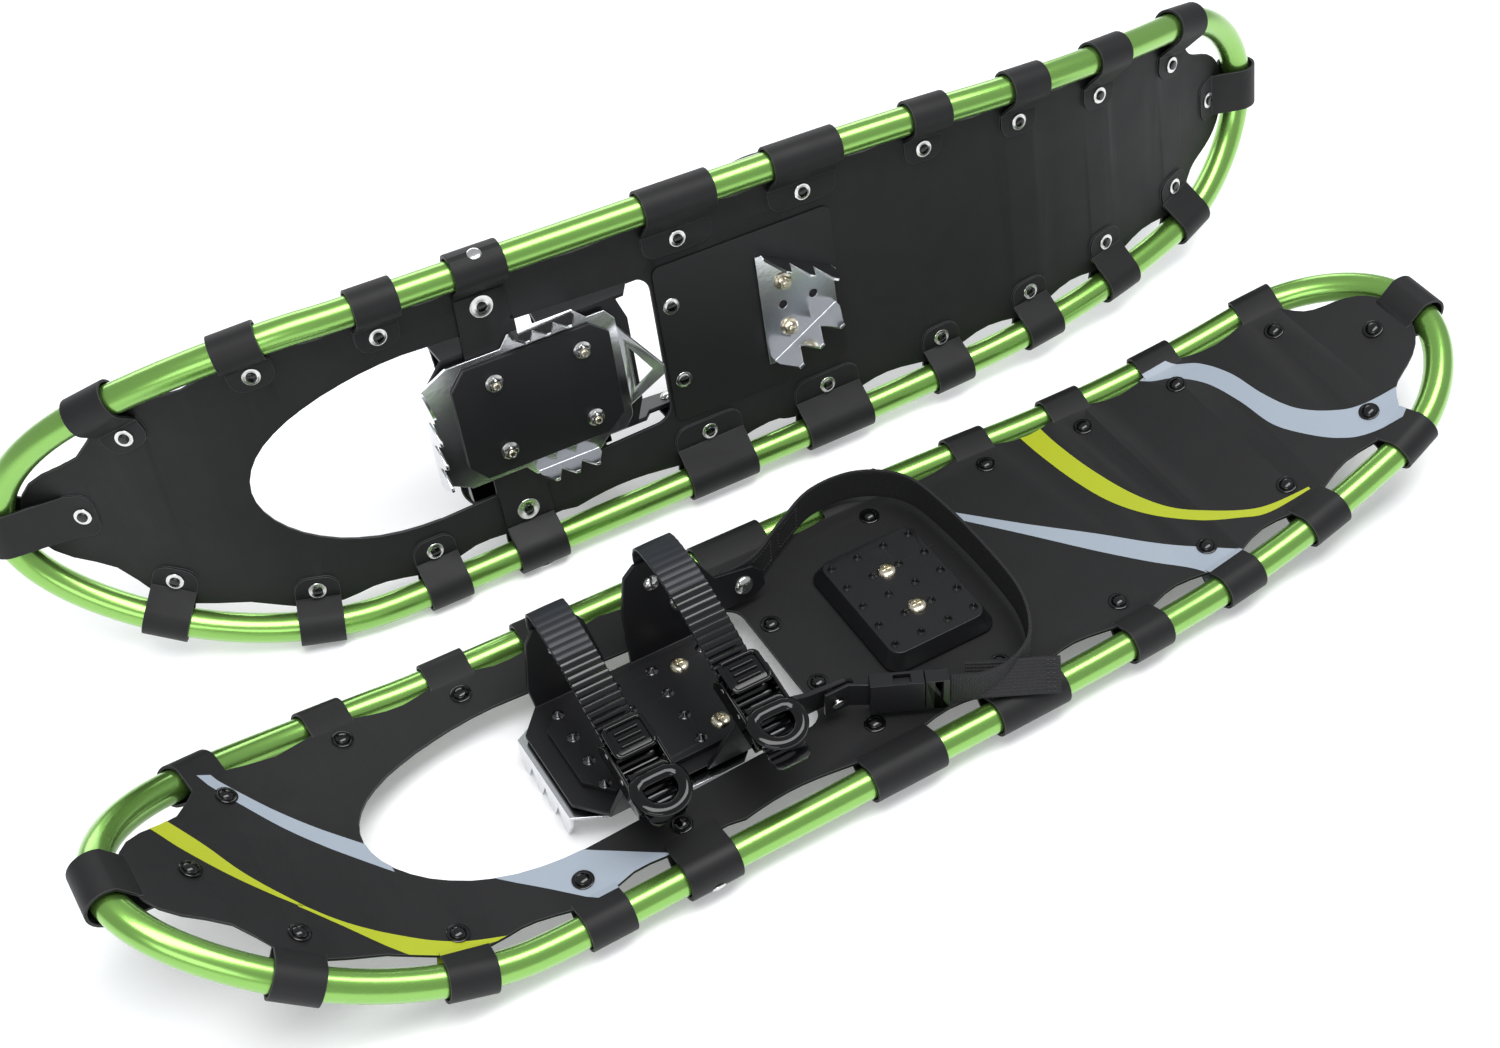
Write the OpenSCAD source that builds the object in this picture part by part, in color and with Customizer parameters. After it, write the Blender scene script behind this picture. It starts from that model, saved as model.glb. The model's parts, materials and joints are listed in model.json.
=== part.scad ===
/* [Shoe] */
// Length of the frame from toe to tail, between the tube's centre lines (mm)
frame_length = 892; // [880:1:904]
// Width of the frame at the ball of the foot, between the tube's centre lines (mm)
frame_width = 211; // [205:1:217]
// Outside diameter of the frame tube (mm)
tube_d = 19; // [18:0.5:19.5]
// Thickness of the deck sheet (mm)
deck_t = 2.2; // [1.8:0.1:2.4]

/* [Binding] */
// Distance of the pivot strap ahead of the middle of the shoe (mm)
pivot_back = 146; // [144:1:148]
// Width of the binding's base plate (mm)
base_w = 92; // [88:1:94]
// Width of the two ladder straps (mm)
ladder_w = 24; // [22:1:25]
// Pitch of the ratchet teeth on the ladder straps (mm)
tooth_pitch = 5; // [4:0.5:6]

/* [Pair] */
// Lean of the standing shoe, back from upright (degrees)
lean = 10; // [8:1:11]
// Distance between the lying shoe's middle and the standing shoe's frame (mm)
pair_gap = 198; // [194:1:210]

/* [Hidden] */
$fn = 48;

// Shoe frame of reference: +X runs from toe to tail, +Z up from the deck's top.
toe_x = -frame_length / 2 + 4;     // the tube's tips lie outside these, as the deck curls up
tail_x = frame_length / 2 - 3.5;
ball_x = -255;         // widest place, where the toe's curve begins
heel_x = 60;           // from here the sides close in towards the tail
tail_round_x = 372;    // where the tail's curve begins
toe_power = 1.75;      // a little more pointed than an ellipse
side_drift = 0.0176;   // slow taper behind the ball
side_taper = 0.00018;  // faster, curved taper behind the heel
toe_bend_x = -225;     // the toe curls up ahead of this line
toe_bend_r = 271;
toe_bend_run = 158;    // straight beyond this run
tail_bend_x = 191;     // the tail curls up behind this line
tail_bend_r = 537;
rail_drop = 8;         // the tube's centre lies this far under the deck's top
tube_r = tube_d / 2;
tube_sides = 14;

tab_t = 1.8;           // the part of a tab that wraps the tube
tab_clear = 1.2;       // room between tube and tab, taken up by the tube's bend
leaf_end = 9;          // a tab runs this far past its rivet
leaf_corner = 9;       // and its end under the deck is rounded off
foot_h = rail_drop - deck_t - tab_t;
sink = 0.7;            // depth to which a tab's end sinks into the sheet

// One row per pair of side tabs: [station, reach from tube to rivet, width]
tabs = [
    [-372, 27, 28], [-290, 23, 28], [-211, 25, 28], [-15, 29, 48], [73, 27, 48],
    [162, 25, 28], [235, 27, 28], [304, 29, 28], [378, 29, 28]
];
tip_tab_w = 30;
toe_reach = 48;
tail_reach = 31;
tip_clear = 2.6;
strap_reach = 28;
strap_w = 33;
strap_t = 2.5;
wrap_rivet_a = 25;     // the strap's outer rivet sits this far round below the tube's side
seam_rivet = [-27, 27.5];

pivot = [-pivot_back, 0, -deck_t - 0.1 - strap_t / 2];
crampon_t = 2;
crampon_z = -deck_t - 0.2 - strap_t - 0.2 - crampon_t;   // underside of the toe crampon
plate_t = 2.5;
plate_z = crampon_z - 0.2 - plate_t;                     // underside of the under plate
harness_t = 3;
harness_z = -deck_t;                                     // underside of the harness sheet
toe_plate_z = harness_z + harness_t + 0.2;
toe_plate_t = 4;
stud_h = 3;
tooth_tip = -28;                                         // level that the teeth stand on
bolt_x = [-151, -92];
bolt_y = 25;
bolt_r = 2.5;
wing_tilt = 14;
wing_y = 48;

pad_x = 50;
pad_size = [76, 98, 12];
pad_bolt_y = 17;

function sq(v) = v * v;
function past(v) = max(0, v);
function unit(v) = v / norm(v);
function reversed(v) = [for (i = [len(v) - 1 : -1 : 0]) v[i]];

// Outline of a rounded rectangle centred on the origin
function rounded(size, r) = [for (q = [0 : 3]) for (a = [0 : 15 : 90])
    let (c = [[1, 1], [-1, 1], [-1, -1], [1, -1]][q])
    [c[0] * (size[0] / 2 - r) + r * cos(90 * q + a), c[1] * (size[1] / 2 - r) + r * sin(90 * q + a)]];

// A smooth line through hand-set points, and the outline of a band along a line
function spline(p, n) = concat([for (i = [0 : len(p) - 2]) for (k = [0 : n - 1])
    let (u = k / n, a = p[max(i - 1, 0)], b = p[i], c = p[i + 1], d = p[min(i + 2, len(p) - 1)])
    0.5 * ((2 * b) + (c - a) * u + (2 * a - 5 * b + 4 * c - d) * u * u
        + (3 * b - a - 3 * c + d) * u * u * u)], [p[len(p) - 1]]);
function run_lengths(p) = [for (i = 0, s = 0; i < len(p); i = i + 1,
    s = s + (i < len(p) ? norm(p[i] - p[i - 1]) : 0)) s];
function resample(p, step) = let (s = run_lengths(p), n = floor(s[len(s) - 1] / step),
    tx = [for (i = [0 : len(p) - 1]) [s[i], p[i][0]]], ty = [for (i = [0 : len(p) - 1]) [s[i], p[i][1]]])
    [for (i = [0 : n]) [lookup(i * step, tx), lookup(i * step, ty)]];
function left_of(p) = [for (i = [0 : len(p) - 1])
    let (d = unit(p[min(i + 1, len(p) - 1)] - p[max(i - 1, 0)])) [-d[1], d[0]]];
function band(p, t, rib = 0) = let (n = left_of(p)) concat(
    [for (i = [0 : len(p) - 1]) p[i] + t / 2 * n[i]],
    [for (i = [len(p) - 1 : -1 : 0]) p[i] - (t / 2 + rib * (i % 2)) * n[i]]);

// Height of the deck's top at x, its slope, and its unit normal
function toe_rise(d) = d < toe_bend_run ? sq(d) / (2 * toe_bend_r)
    : sq(toe_bend_run) / (2 * toe_bend_r) + (d - toe_bend_run) * toe_bend_run / toe_bend_r;
function rise(x) = toe_rise(past(toe_bend_x - x)) + sq(past(x - tail_bend_x)) / (2 * tail_bend_r);
function slope(x) = rise(x + 0.5) - rise(x - 0.5);
function deck_normal(x) = unit([-slope(x), 0, 1]);

// Half width of the frame at x, between the middle line and the tube's centre
function side_y(x) = frame_width / 2 - side_drift * past(x - ball_x) - side_taper * sq(past(x - heel_x));
function toe_round(x) = sqrt(past(1 - pow(past(ball_x - x) / (ball_x - toe_x), toe_power)));
function tail_round(x) = sqrt(past(1 - sq(past(x - tail_round_x) / (tail_x - tail_round_x))));
function half_width(x) = side_y(x) * toe_round(x) * tail_round(x);

// A point of the tube's centre line, from its place on the deck's surface
function on_tube(x, y) = [x, y, rise(x)] - rail_drop * deck_normal(x);

// Stations along one side, toe tip to tail tip, closer together on the curves
function stations(turn, step) = concat(
    [for (a = [90 : -turn : turn / 2]) ball_x - (ball_x - toe_x) * sin(a)],
    [for (i = [0 : floor((tail_round_x - ball_x) / step)])
        ball_x + i * (tail_round_x - ball_x) / floor((tail_round_x - ball_x) / step)],
    [for (a = [turn : turn : 90]) tail_round_x + (tail_x - tail_round_x) * sin(a)]);
// The same closed into a loop: out along +Y, back along -Y
function loop(xs) = concat([for (x = xs) [x, half_width(x)]],
    [for (i = [len(xs) - 2 : -1 : 1]) [xs[i], -half_width(xs[i])]]);

// A tube of radius r swept round a closed loop of points
module closed_tube(path, r, sides) {
    n = len(path);
    rings = [for (i = [0 : n - 1])
        let (t = unit(path[(i + 1) % n] - path[(i + n - 1) % n]),
             side = unit(cross(t, [0, 0, 1])), up = cross(side, t))
        for (k = [0 : sides - 1]) path[i] + r * (cos(360 * k / sides) * side + sin(360 * k / sides) * up)];
    quads = [for (i = [0 : n - 1]) for (k = [0 : sides - 1])
        let (a = i * sides + k, b = i * sides + (k + 1) % sides,
             c = ((i + 1) % n) * sides + (k + 1) % sides, d = ((i + 1) % n) * sides + k)
        [[a, b, c], [a, c, d]]];
    polyhedron(points = rings, faces = [for (q = quads) each q], convexity = 6);
}

// Frame of one tab: origin at the tube's centre, +Y inwards along the deck, +Z off the deck
module tab_frame(origin, inward, normal) {
    along = cross(inward, normal);
    multmatrix([for (i = [0 : 2]) [along[i], inward[i], normal[i], origin[i]]]) children();
}
module side_station(x, side, width, reach) {
    flare = (half_width(x + 1) - half_width(x - 1)) / 2;
    deck_x = x + reach / 2 * flare / norm([1, flare]);
    w = deck_normal(deck_x);
    ends = on_tube(x - width / 2, side * half_width(x - width / 2))
        + on_tube(x + width / 2, side * half_width(x + width / 2));
    tab_frame((2 * on_tube(x, side * half_width(x)) + ends) / 4,
        -side * cross(w, unit([1, side * flare, slope(deck_x)])), w) children();
}
module tip_station(x, inward, reach) {
    deck_x = x + inward * reach / 2;
    tab_frame(on_tube(x, 0) + [inward * 1.2, 0, 0], inward * unit([1, 0, slope(deck_x)]), deck_normal(deck_x))
        children();
}
// Every tab in turn; its children may use $reach, $width and $clear
module at_tabs() {
    for (tab = tabs) for (side = [1, -1])
        let ($reach = tab[1], $width = tab[2], $clear = tab_clear)
            side_station(tab[0], side, $width, $reach) children();
    let ($reach = toe_reach, $width = tip_tab_w, $clear = tip_clear)
        tip_station(toe_x, 1, $reach) children();
    let ($reach = tail_reach, $width = tip_tab_w, $clear = tip_clear)
        tip_station(tail_x, -1, $reach) children();
}
module at_strap_ends() {
    for (side = [1, -1]) side_station(-pivot_back, side, strap_w, strap_reach) children();
}

// A wrap leaves the tube for its knee at this angle, and runs round to the tube's top
function wrap_angle(knee, r) = atan2(knee[1], knee[0]) - acos(r / norm(knee));
function wrap(knee, r, r_out) = let (a = wrap_angle(knee, r))
    [for (i = [0 : 16]) let (b = a - i * (270 + a) / 16) r_out * [cos(b), sin(b)]];
function wrap_out(knee, r) = let (a = wrap_angle(knee, r)) [cos(a), sin(a)];

// Section of a tab across the tube: out of the deck's edge, over the tube, and back under the deck.
// Both its ends sink into the deck's sheet.
module tab_section(reach, clear) {
    r = tube_r + clear;
    knee = [max(reach - 8, 15), rail_drop - deck_t];
    out = wrap_out(knee, r);
    sunk_knee = knee + sink / out[0] * [-out[1], out[0]];
    polygon(concat(wrap(knee, r, r + tab_t),
        [[13, rail_drop + 0.4], [16, rail_drop - 0.6], [13, rail_drop - 1.4]], reversed(wrap(knee, r, r)),
        [sunk_knee, [reach + leaf_end + 2, sunk_knee[1]], [reach + leaf_end + 2, foot_h],
         [knee[0] + 3, foot_h], knee + tab_t * out]));
}
// A tab seen from above, to trim it to its width and its rounded end
module tab_outline(width, end) {
    side = width / 2 - leaf_corner;
    polygon(concat([[-width / 2, -2 * tube_r], [width / 2, -2 * tube_r]],
        [for (a = [0 : 22.5 : 90]) [side, end - leaf_corner] + leaf_corner * [cos(a), sin(a)]],
        [for (a = [90 : 22.5 : 180]) [-side, end - leaf_corner] + leaf_corner * [cos(a), sin(a)]]));
}
module tab(width, reach, clear) intersection() {
    along_x(width + 2) tab_section(reach, clear);
    translate([0, 0, -2 * tube_r]) linear_extrude(4 * tube_r) tab_outline(width, reach + leaf_end);
}
module along_x(length) {
    rotate([90, 0, 90]) linear_extrude(length, center = true) children();
}

// Edge of the deck: it meets each tab and curves away from the tube in between
tab_stations = concat([toe_x], [for (tab = tabs) if (tab[0] < -pivot_back) tab[0]], [-pivot_back],
    [for (tab = tabs) if (tab[0] > -pivot_back) tab[0]], [tail_x]);
edge_gap = 8.8;        // at a tab, from the tube's centre
side_scallop = 6.5;    // depth of the curves along the sides
tip_scallop = 13;      // and of those beside the tip tabs
strap_notch = [26.5, 14];  // the edge stands back where the pivot strap wraps the rail
function gap_at(x) =
    let (i = max([for (k = [0 : len(tab_stations) - 2]) if (x >= tab_stations[k]) k]),
         deep = i == 0 || i == len(tab_stations) - 2 ? tip_scallop : side_scallop,
         gap = edge_gap + deep * sq(sin(180 * (x - tab_stations[i]) / (tab_stations[i + 1] - tab_stations[i]))))
    abs(x + pivot_back) < strap_notch[0] ? max(gap, strap_notch[1]) : gap;
function inset(points, xs) = [for (i = [0 : len(points) - 1])
    let (n = len(points), t = unit(points[(i + 1) % n] - points[(i + n - 1) % n]))
    points[i] + gap_at(points[i][0]) * [t[1], -t[0]]];

// Egg-shaped toe hole, round in front and squared off at the seam
hole_front = -307;
hole_mid = -200;
hole_rear = -38;
hole_half = [61, 54];
hole_corner = 12;
function hole_points() = concat(
    [for (a = [90 : 7.5 : 270]) [hole_mid + (hole_mid - hole_front) * cos(a), hole_half[0] * sin(a)]],
    [for (a = [-90 : 15 : 0]) [hole_rear - hole_corner * (1 - cos(a)),
        -hole_half[1] + hole_corner * (1 + sin(a))]],
    [for (a = [0 : 15 : 90]) [hole_rear - hole_corner * (1 - cos(a)),
        hole_half[1] - hole_corner * (1 - sin(a))]]);

module frame_tube() color("#7cb83e") {
    path = [for (p = loop(stations(9, 40))) on_tube(p[0], p[1])];
    closed_tube(path, tube_r, tube_sides);
}

module deck_sheet() {
    steps = 44;
    xs = [for (i = [0 : steps]) toe_x - 4 + i * (tail_x - toe_x + 8) / steps];
    section = concat([for (x = xs) [x, rise(x)]],
        [for (x = reversed(xs)) let (n = deck_normal(x)) [x - deck_t * n[0], rise(x) - deck_t * n[2]]]);
    intersection() {
        translate([0, 0, -20]) linear_extrude(160) difference() {
            polygon(inset(loop(stations(6, 10))));
            polygon(hole_points());
        }
        rotate([90, 0, 0]) linear_extrude(frame_width + 40, center = true) polygon(section);
    }
}
module at_seam_rivets() {
    for (side = [1, -1]) translate([seam_rivet[0], side * seam_rivet[1], 0]) children();
}
module at_pad_bolts() {
    for (side = [1, -1]) translate([pad_x, side * pad_bolt_y, 0]) children();
}
module rivet_hole() {
    cylinder(r = 2.6, h = 30, center = true);
}
module pad_bolt_hole() {
    cylinder(r = bolt_r + 0.3, h = 60, center = true);
}
module deck() color("#26272b") difference() {
    union() {
        deck_sheet();
        at_tabs() tab($width, $reach, $clear);
    }
    at_tabs() translate([0, $reach, 0]) rivet_hole();
    at_strap_ends() translate([0, strap_reach, 0]) rivet_hole();
    at_seam_rivets() rivet_hole();
    at_pad_bolts() pad_bolt_hole();
}

doubler_t = 1.5;
doubler_z = -deck_t - 0.1 - doubler_t;
module deck_doubler() color("#1d1e21") difference() {
    translate([27, 0, doubler_z]) linear_extrude(doubler_t) polygon(rounded([126, 114], 6));
    at_seam_rivets() rivet_hole();
    at_pad_bolts() pad_bolt_hole();
}

// A domed rivet standing on z = 0 that grips a stack and spreads under it
module rivet(grip, head_r = 6.5, shank_r = 2.3) {
    translate([0, 0, 0.15]) cylinder(r = head_r, h = 0.8);
    translate([0, 0, 0.95]) cylinder(r1 = head_r * 0.72, r2 = head_r * 0.4, h = 1.7);
    translate([0, 0, -grip - 1.3]) cylinder(r = shank_r, h = grip + 1.5);
    translate([0, 0, -grip - 2.3]) cylinder(r = shank_r + 1, h = 1.2);
}
module washer(z, r) {
    translate([0, 0, z - 0.9]) difference() {
        cylinder(r = r, h = 0.8);
        translate([0, 0, -1]) cylinder(r = 2.6, h = 3);
    }
}
module deck_rivets() color("#101012") {
    at_tabs() translate([0, $reach, rail_drop]) rivet(deck_t + tab_t);
    at_seam_rivets() rivet(deck_t + 0.1 + doubler_t);
}
module rivet_washers() color("#c9cbcd") {
    at_tabs() translate([0, $reach, 0]) washer(foot_h, 5.6);
    at_seam_rivets() washer(doubler_z, 5.6);
}

// Band from rail to rail that carries the binding and wraps both tubes
module pivot_strap() color("#1a1a1c") difference() {
    r = tube_r + tab_clear;
    top = rail_drop - deck_t - 0.1;
    knee = [17, top];
    middle = [strap_w + 3, 120, strap_t];    // a little wider than the arms, which run into it at a slant
    union() {
        at_strap_ends() along_x(strap_w)
            polygon(concat(wrap(knee, r, r + strap_t),
                [[18, rail_drop + 0.2 + strap_t], [20, rail_drop + 0.2 + strap_t],
                 [20, rail_drop + 0.2], [17, rail_drop + 0.2]],
                reversed(wrap(knee, r, r)),
                [knee, [55, top], [55, top - strap_t], [knee[0] + 3, top - strap_t],
                 knee + strap_t * wrap_out(knee, r)]));
        translate([pivot[0], 0, pivot[2]]) cube(middle, center = true);
    }
    for (side = [1, -1]) translate([bolt_x[0], side * bolt_y, 0])
        cylinder(r = bolt_r + 0.2, h = 30, center = true);
    at_strap_ends() {
        translate([0, strap_reach, 0]) rivet_hole();
        rotate([90 + wrap_rivet_a, 0, 0]) cylinder(r = 2.6, h = 30);
    }
}
module strap_rivets() color("#c9cbcd") at_strap_ends() {
    translate([0, strap_reach, rail_drop]) rivet(deck_t + 0.1 + strap_t);
    translate([0, strap_reach, 0]) washer(rail_drop - deck_t - 0.1 - strap_t, 7.5);
    rotate([90 + wrap_rivet_a, 0, 0]) translate([0, 0, tube_r + tab_clear + strap_t]) {
        translate([0, 0, 0.1]) cylinder(r1 = 4.4, r2 = 2.8, h = 0.9);
        translate([0, 0, -strap_t]) cylinder(r = 2.3, h = strap_t + 0.3);
    }
}

// Heel pad: a bevelled block with cone studs, bolted through deck and doubler
module heel_pad() color("#1b1c1f") difference() {
    translate([pad_x, 0, 0.2]) {
        hull() {
            linear_extrude(2) polygon(rounded([pad_size[0], pad_size[1]], 10));
            linear_extrude(pad_size[2]) polygon(rounded([pad_size[0] - 10, pad_size[1] - 10], 8));
        }
        for (x = [-28, -9.5, 9.5, 28]) for (y = [-36, -18, 0, 18, 36])
            translate([x, y, pad_size[2] - 1]) cylinder(r1 = 2.5, r2 = 0.8, h = 3.6);
    }
    at_pad_bolts() pad_bolt_hole();
}

heel_crampon_z = doubler_z - 0.1 - crampon_t;
heel_edge = [[38, 40], [86, 14]];
// A row of teeth hanging from z = 0, run long, with tips at the given depth
function teeth(run, count, depth, root) = concat([[0, 0]], [for (i = [0 : count - 1])
    let (p = run / count) each [[i * p, -root], [(i + 0.4) * p, -depth], [(i + 0.6) * p, -depth]]],
    [[run, -root], [run, 0]]);
module heel_crampon() color("#c4c8cc") {
    run = heel_edge[1] - heel_edge[0];
    difference() {
        translate([0, 0, heel_crampon_z]) linear_extrude(crampon_t)
            polygon([[33, 40], heel_edge[0], heel_edge[1], [86, -14], [38, -40], [33, -40]]);
        at_pad_bolts() pad_bolt_hole();
        for (x = [48, 70]) translate([x, 0, 0]) cylinder(r = 3, h = 20, center = true);
    }
    for (side = [1, -1]) translate([heel_edge[0][0], side * heel_edge[0][1], heel_crampon_z + crampon_t])
        rotate([0, 0, side * atan2(run[1], run[0])]) rotate([90, 0, 0])
            translate([0, 0, side > 0 ? 0 : -crampon_t]) linear_extrude(crampon_t)
                polygon(teeth(norm(run), 3, heel_crampon_z + crampon_t - tooth_tip, 8));
}

// Bolt head standing on z = 0, with its shank running down
module bolt(length) {
    translate([0, 0, 0.1]) cylinder(r = 5.5, h = 1.6);
    translate([0, 0, 1.7]) cylinder(r1 = 5, r2 = 3.2, h = 1.2);
    translate([0, 0, -length]) cylinder(r = bolt_r, h = length + 0.5);
}
// Flanged nut whose flange bears upwards on z = 0
module nut() {
    difference() {
        translate([0, 0, -5]) union() {
            cylinder(r = 4.6, h = 4.5, $fn = 6);
            translate([0, 0, 3.9]) cylinder(r = 6, h = 1);
        }
        cylinder(r = bolt_r + 0.1, h = 20, center = true);
    }
}
module heel_bolts() color("#c9cbcd") at_pad_bolts() {
    translate([0, 0, pad_size[2] + 0.2]) bolt(pad_size[2] + 0.2 - heel_crampon_z + 6);
    translate([0, 0, heel_crampon_z - 0.1]) nut();
}

module at_bolts() {
    for (x = bolt_x) for (side = [1, -1]) translate([x, side * bolt_y, 0]) children();
}
module bolt_holes() {
    at_bolts() cylinder(r = bolt_r + 0.2, h = 60, center = true);
}

claw_x = -66;
front_x = -196;        // the front teeth hang just ahead of the harness
lobe_y = 52;           // and the side teeth from lobes that reach past it
lobe_x = [-136, -92];
module toe_crampon() color("#c4c8cc") {
    top = crampon_z + crampon_t;
    depth = top - tooth_tip;
    half = concat([[front_x - 1, 34], [-178, 44], [lobe_x[0] - 6, 44], [lobe_x[0], lobe_y],
        [lobe_x[1], lobe_y], [lobe_x[1] + 8, 44], [-72, 44], [claw_x, 36]]);
    difference() {
        translate([0, 0, crampon_z]) linear_extrude(crampon_t)
            polygon(concat(half, [for (p = reversed(half)) [p[0], -p[1]]]));
        bolt_holes();
    }
    translate([front_x, -34, top]) along_x(crampon_t) polygon(teeth(68, 4, depth, 8));
    for (side = [1, -1]) translate([lobe_x[0] + 1, side > 0 ? lobe_y : crampon_t - lobe_y, top])
        rotate([90, 0, 0]) linear_extrude(crampon_t) polygon(teeth(42, 3, depth * 0.75, 7));
    translate([claw_x, 0, crampon_z]) rotate([0, 45, 0]) linear_extrude(crampon_t) difference() {
        polygon([[-2.5, 31], [27, 3], [27, -3], [-2.5, -31]]);
        polygon([[5, 15], [19, 0], [5, -15]]);
    }
}

module under_plate() color("#17181a") difference() {
    translate([0, 0, plate_z]) linear_extrude(plate_t)
        polygon([[-178, 28], [-168, 40], [-84, 40], [-72, 30],
            [-72, -30], [-84, -40], [-168, -40], [-178, -28]]);
    bolt_holes();
}

module toe_plate() color("#1b1c1f") difference() {
    union() {
        translate([0, 0, toe_plate_z]) linear_extrude(toe_plate_t)
            polygon([[-182, 22], [-168, 38], [-72, 38], [-60, 24],
                [-60, -24], [-72, -38], [-168, -38], [-182, -22]]);
        for (x = [-171, -133, -108, -74]) for (y = [-30, -10, 10, 30])
            translate([x, y, toe_plate_z + toe_plate_t - 0.5]) cylinder(r1 = 3, r2 = 0.8, h = stud_h + 0.5);
    }
    bolt_holes();
}

module binding_bolts() color("#c9cbcd") {
    top = toe_plate_z + toe_plate_t;
    at_bolts() translate([0, 0, top]) bolt(top - plate_z + 6);
}
module binding_nuts() color("#c9cbcd") {
    at_bolts() translate([0, 0, plate_z - 0.1]) nut();
}

// Frame of a side wing: X as the shoe, Z up the wing's outer face, wall towards the foot
module on_wing(side) {
    translate([0, side * wing_y, harness_z]) rotate([-side * wing_tilt, 0, 0]) children();
}
module wing(side, outline) {
    on_wing(side) rotate([90, 0, 0]) translate([0, 0, side > 0 ? 0 : -harness_t])
        linear_extrude(harness_t) polygon(outline);
}
arm = [[-50, 34], [-24, 30], [-18, 24], [-18, 14], [-26, 9], [-50, 9], [-56, 0]];
far_toe_wing = [[-178, 0], [-180, 16], [-174, 46], [-168, 54], [-142, 54], [-136, 46], [-130, 16], [-130, 0]];
far_instep_wing = concat([[-114, 0], [-112, 38], [-106, 60], [-98, 66], [-72, 66], [-62, 56]], arm);
toe_flange_h = 29.5;
instep_flange_h = 43.5;
near_toe_wing = [[-178, 0], [-170, toe_flange_h], [-144, toe_flange_h], [-132, 0]];
near_instep_wing = concat([[-114, 0], [-98, instep_flange_h], [-70, instep_flange_h]], arm);
// Rivets on the wings: [side, x, height, head radius, room for the straps outside the wing]
wing_rivets = [
    [1, -157, 36, 4, 2.8], [1, -90, 50, 4, 2.8], [1, -67, 52, 5.5, 0.2], [1, -74, 30, 6, 0.2],
    [1, -32, 20, 5, 7], [-1, -32, 20, 5, 7]
];
module at_wing_rivets() {
    for (rivet = wing_rivets) let ($head = rivet[3], $room = rivet[4]) on_wing(rivet[0])
        translate([rivet[1], 0, rivet[2]]) rotate([90, 0, 0]) mirror([0, 0, rivet[0] > 0 ? 0 : 1]) children();
}

// Frames of the two ratchet buckles: +Y along the strap, away from the foot, +Z off the foot
buckle_slope = 12;
module at_toe_buckle() {
    translate([-157, -44, 33]) rotate([buckle_slope, 0, 0]) rotate([0, 0, 180]) children();
}
module at_instep_buckle() {
    translate([-84, -48, 46.5]) rotate([buckle_slope, 0, 0]) rotate([0, 0, 180]) children();
}
buckle_rivet_y = 2;
flange_t = 3;
module buckle_flange() {
    difference() {
        translate([-13, -4, -2.2 - flange_t]) cube([26, 20, flange_t]);
        translate([0, buckle_rivet_y, 0]) cylinder(r = 2.6, h = 20, center = true);
    }
}
module harness() color("#222326") {
    difference() {
        union() {
            translate([0, 0, harness_z]) linear_extrude(harness_t)
                polygon([[-193, 30], [-178, base_w / 2 + 1], [-62, base_w / 2 + 1], [-56, 30],
                    [-56, -30], [-62, -base_w / 2 - 1], [-178, -base_w / 2 - 1], [-193, -30]]);
            for (side = [1, -1]) translate([bolt_x[1], side * bolt_y, crampon_z + crampon_t + 0.1])
                cylinder(r = 8, h = harness_z - crampon_z - crampon_t + 1);
            wing(1, far_toe_wing);
            wing(1, far_instep_wing);
            wing(-1, near_toe_wing);
            wing(-1, near_instep_wing);
        }
        bolt_holes();
        at_wing_rivets() cylinder(r = 2.4, h = 20, center = true);
    }
    at_toe_buckle() buckle_flange();
    at_instep_buckle() buckle_flange();
}

// Rivets through the wings and, under the buckles, through the flanges
module harness_rivets() color("#d3d5d7") {
    at_wing_rivets() {
        translate([0, 0, -$room - 1.2]) cylinder(r1 = 3.4, r2 = 4, h = 1.2);
        translate([0, 0, -$room - 0.2]) cylinder(r = 2.2, h = $room + harness_t + 0.6);
        translate([0, 0, harness_t + 0.2]) cylinder(r1 = $head, r2 = $head * 0.6, h = 1.8);
    }
    at_toe_buckle() flange_rivet();
    at_instep_buckle() flange_rivet();
}
module flange_rivet() {
    translate([0, buckle_rivet_y, -2.2 - flange_t - 1.5]) cylinder(r1 = 3.2, r2 = 4.5, h = 1.4);
    translate([0, buckle_rivet_y, -2.2 - flange_t - 0.5]) cylinder(r = 2.2, h = flange_t + 2.4);
}

// Ladder straps: ribbed bands from the far wings over the foot to the buckles
ladder_t = 2.2;
ladder_rib = 1.2;
toe_ladder_line = [[56.5, 26], [61, 44], [63.5, 55], [57, 64], [30, 60], [0, 52], [-26, 42.5],
    [-44, 35.4], [-88, 26.1]];
instep_ladder_line = [[59.5, 38], [64, 56], [66, 67], [58, 77], [32, 77], [2, 69], [-30, 56.4],
    [-48, 48.9], [-99, 38.1]];
module ladder(line, x) {
    translate([x, 0, 0]) along_x(ladder_w)
        polygon(band(resample(spline(line, 8), tooth_pitch / 2), ladder_t, -ladder_rib));
}
module toe_ladder() color("#2b2c30") difference() {
    ladder(toe_ladder_line, -157);
    at_wing_rivets() cylinder(r = 2.4, h = 20, center = true);
}
module instep_ladder() color("#2b2c30") difference() {
    ladder(instep_ladder_line, -84);
    at_wing_rivets() cylinder(r = 2.4, h = 20, center = true);
}

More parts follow.
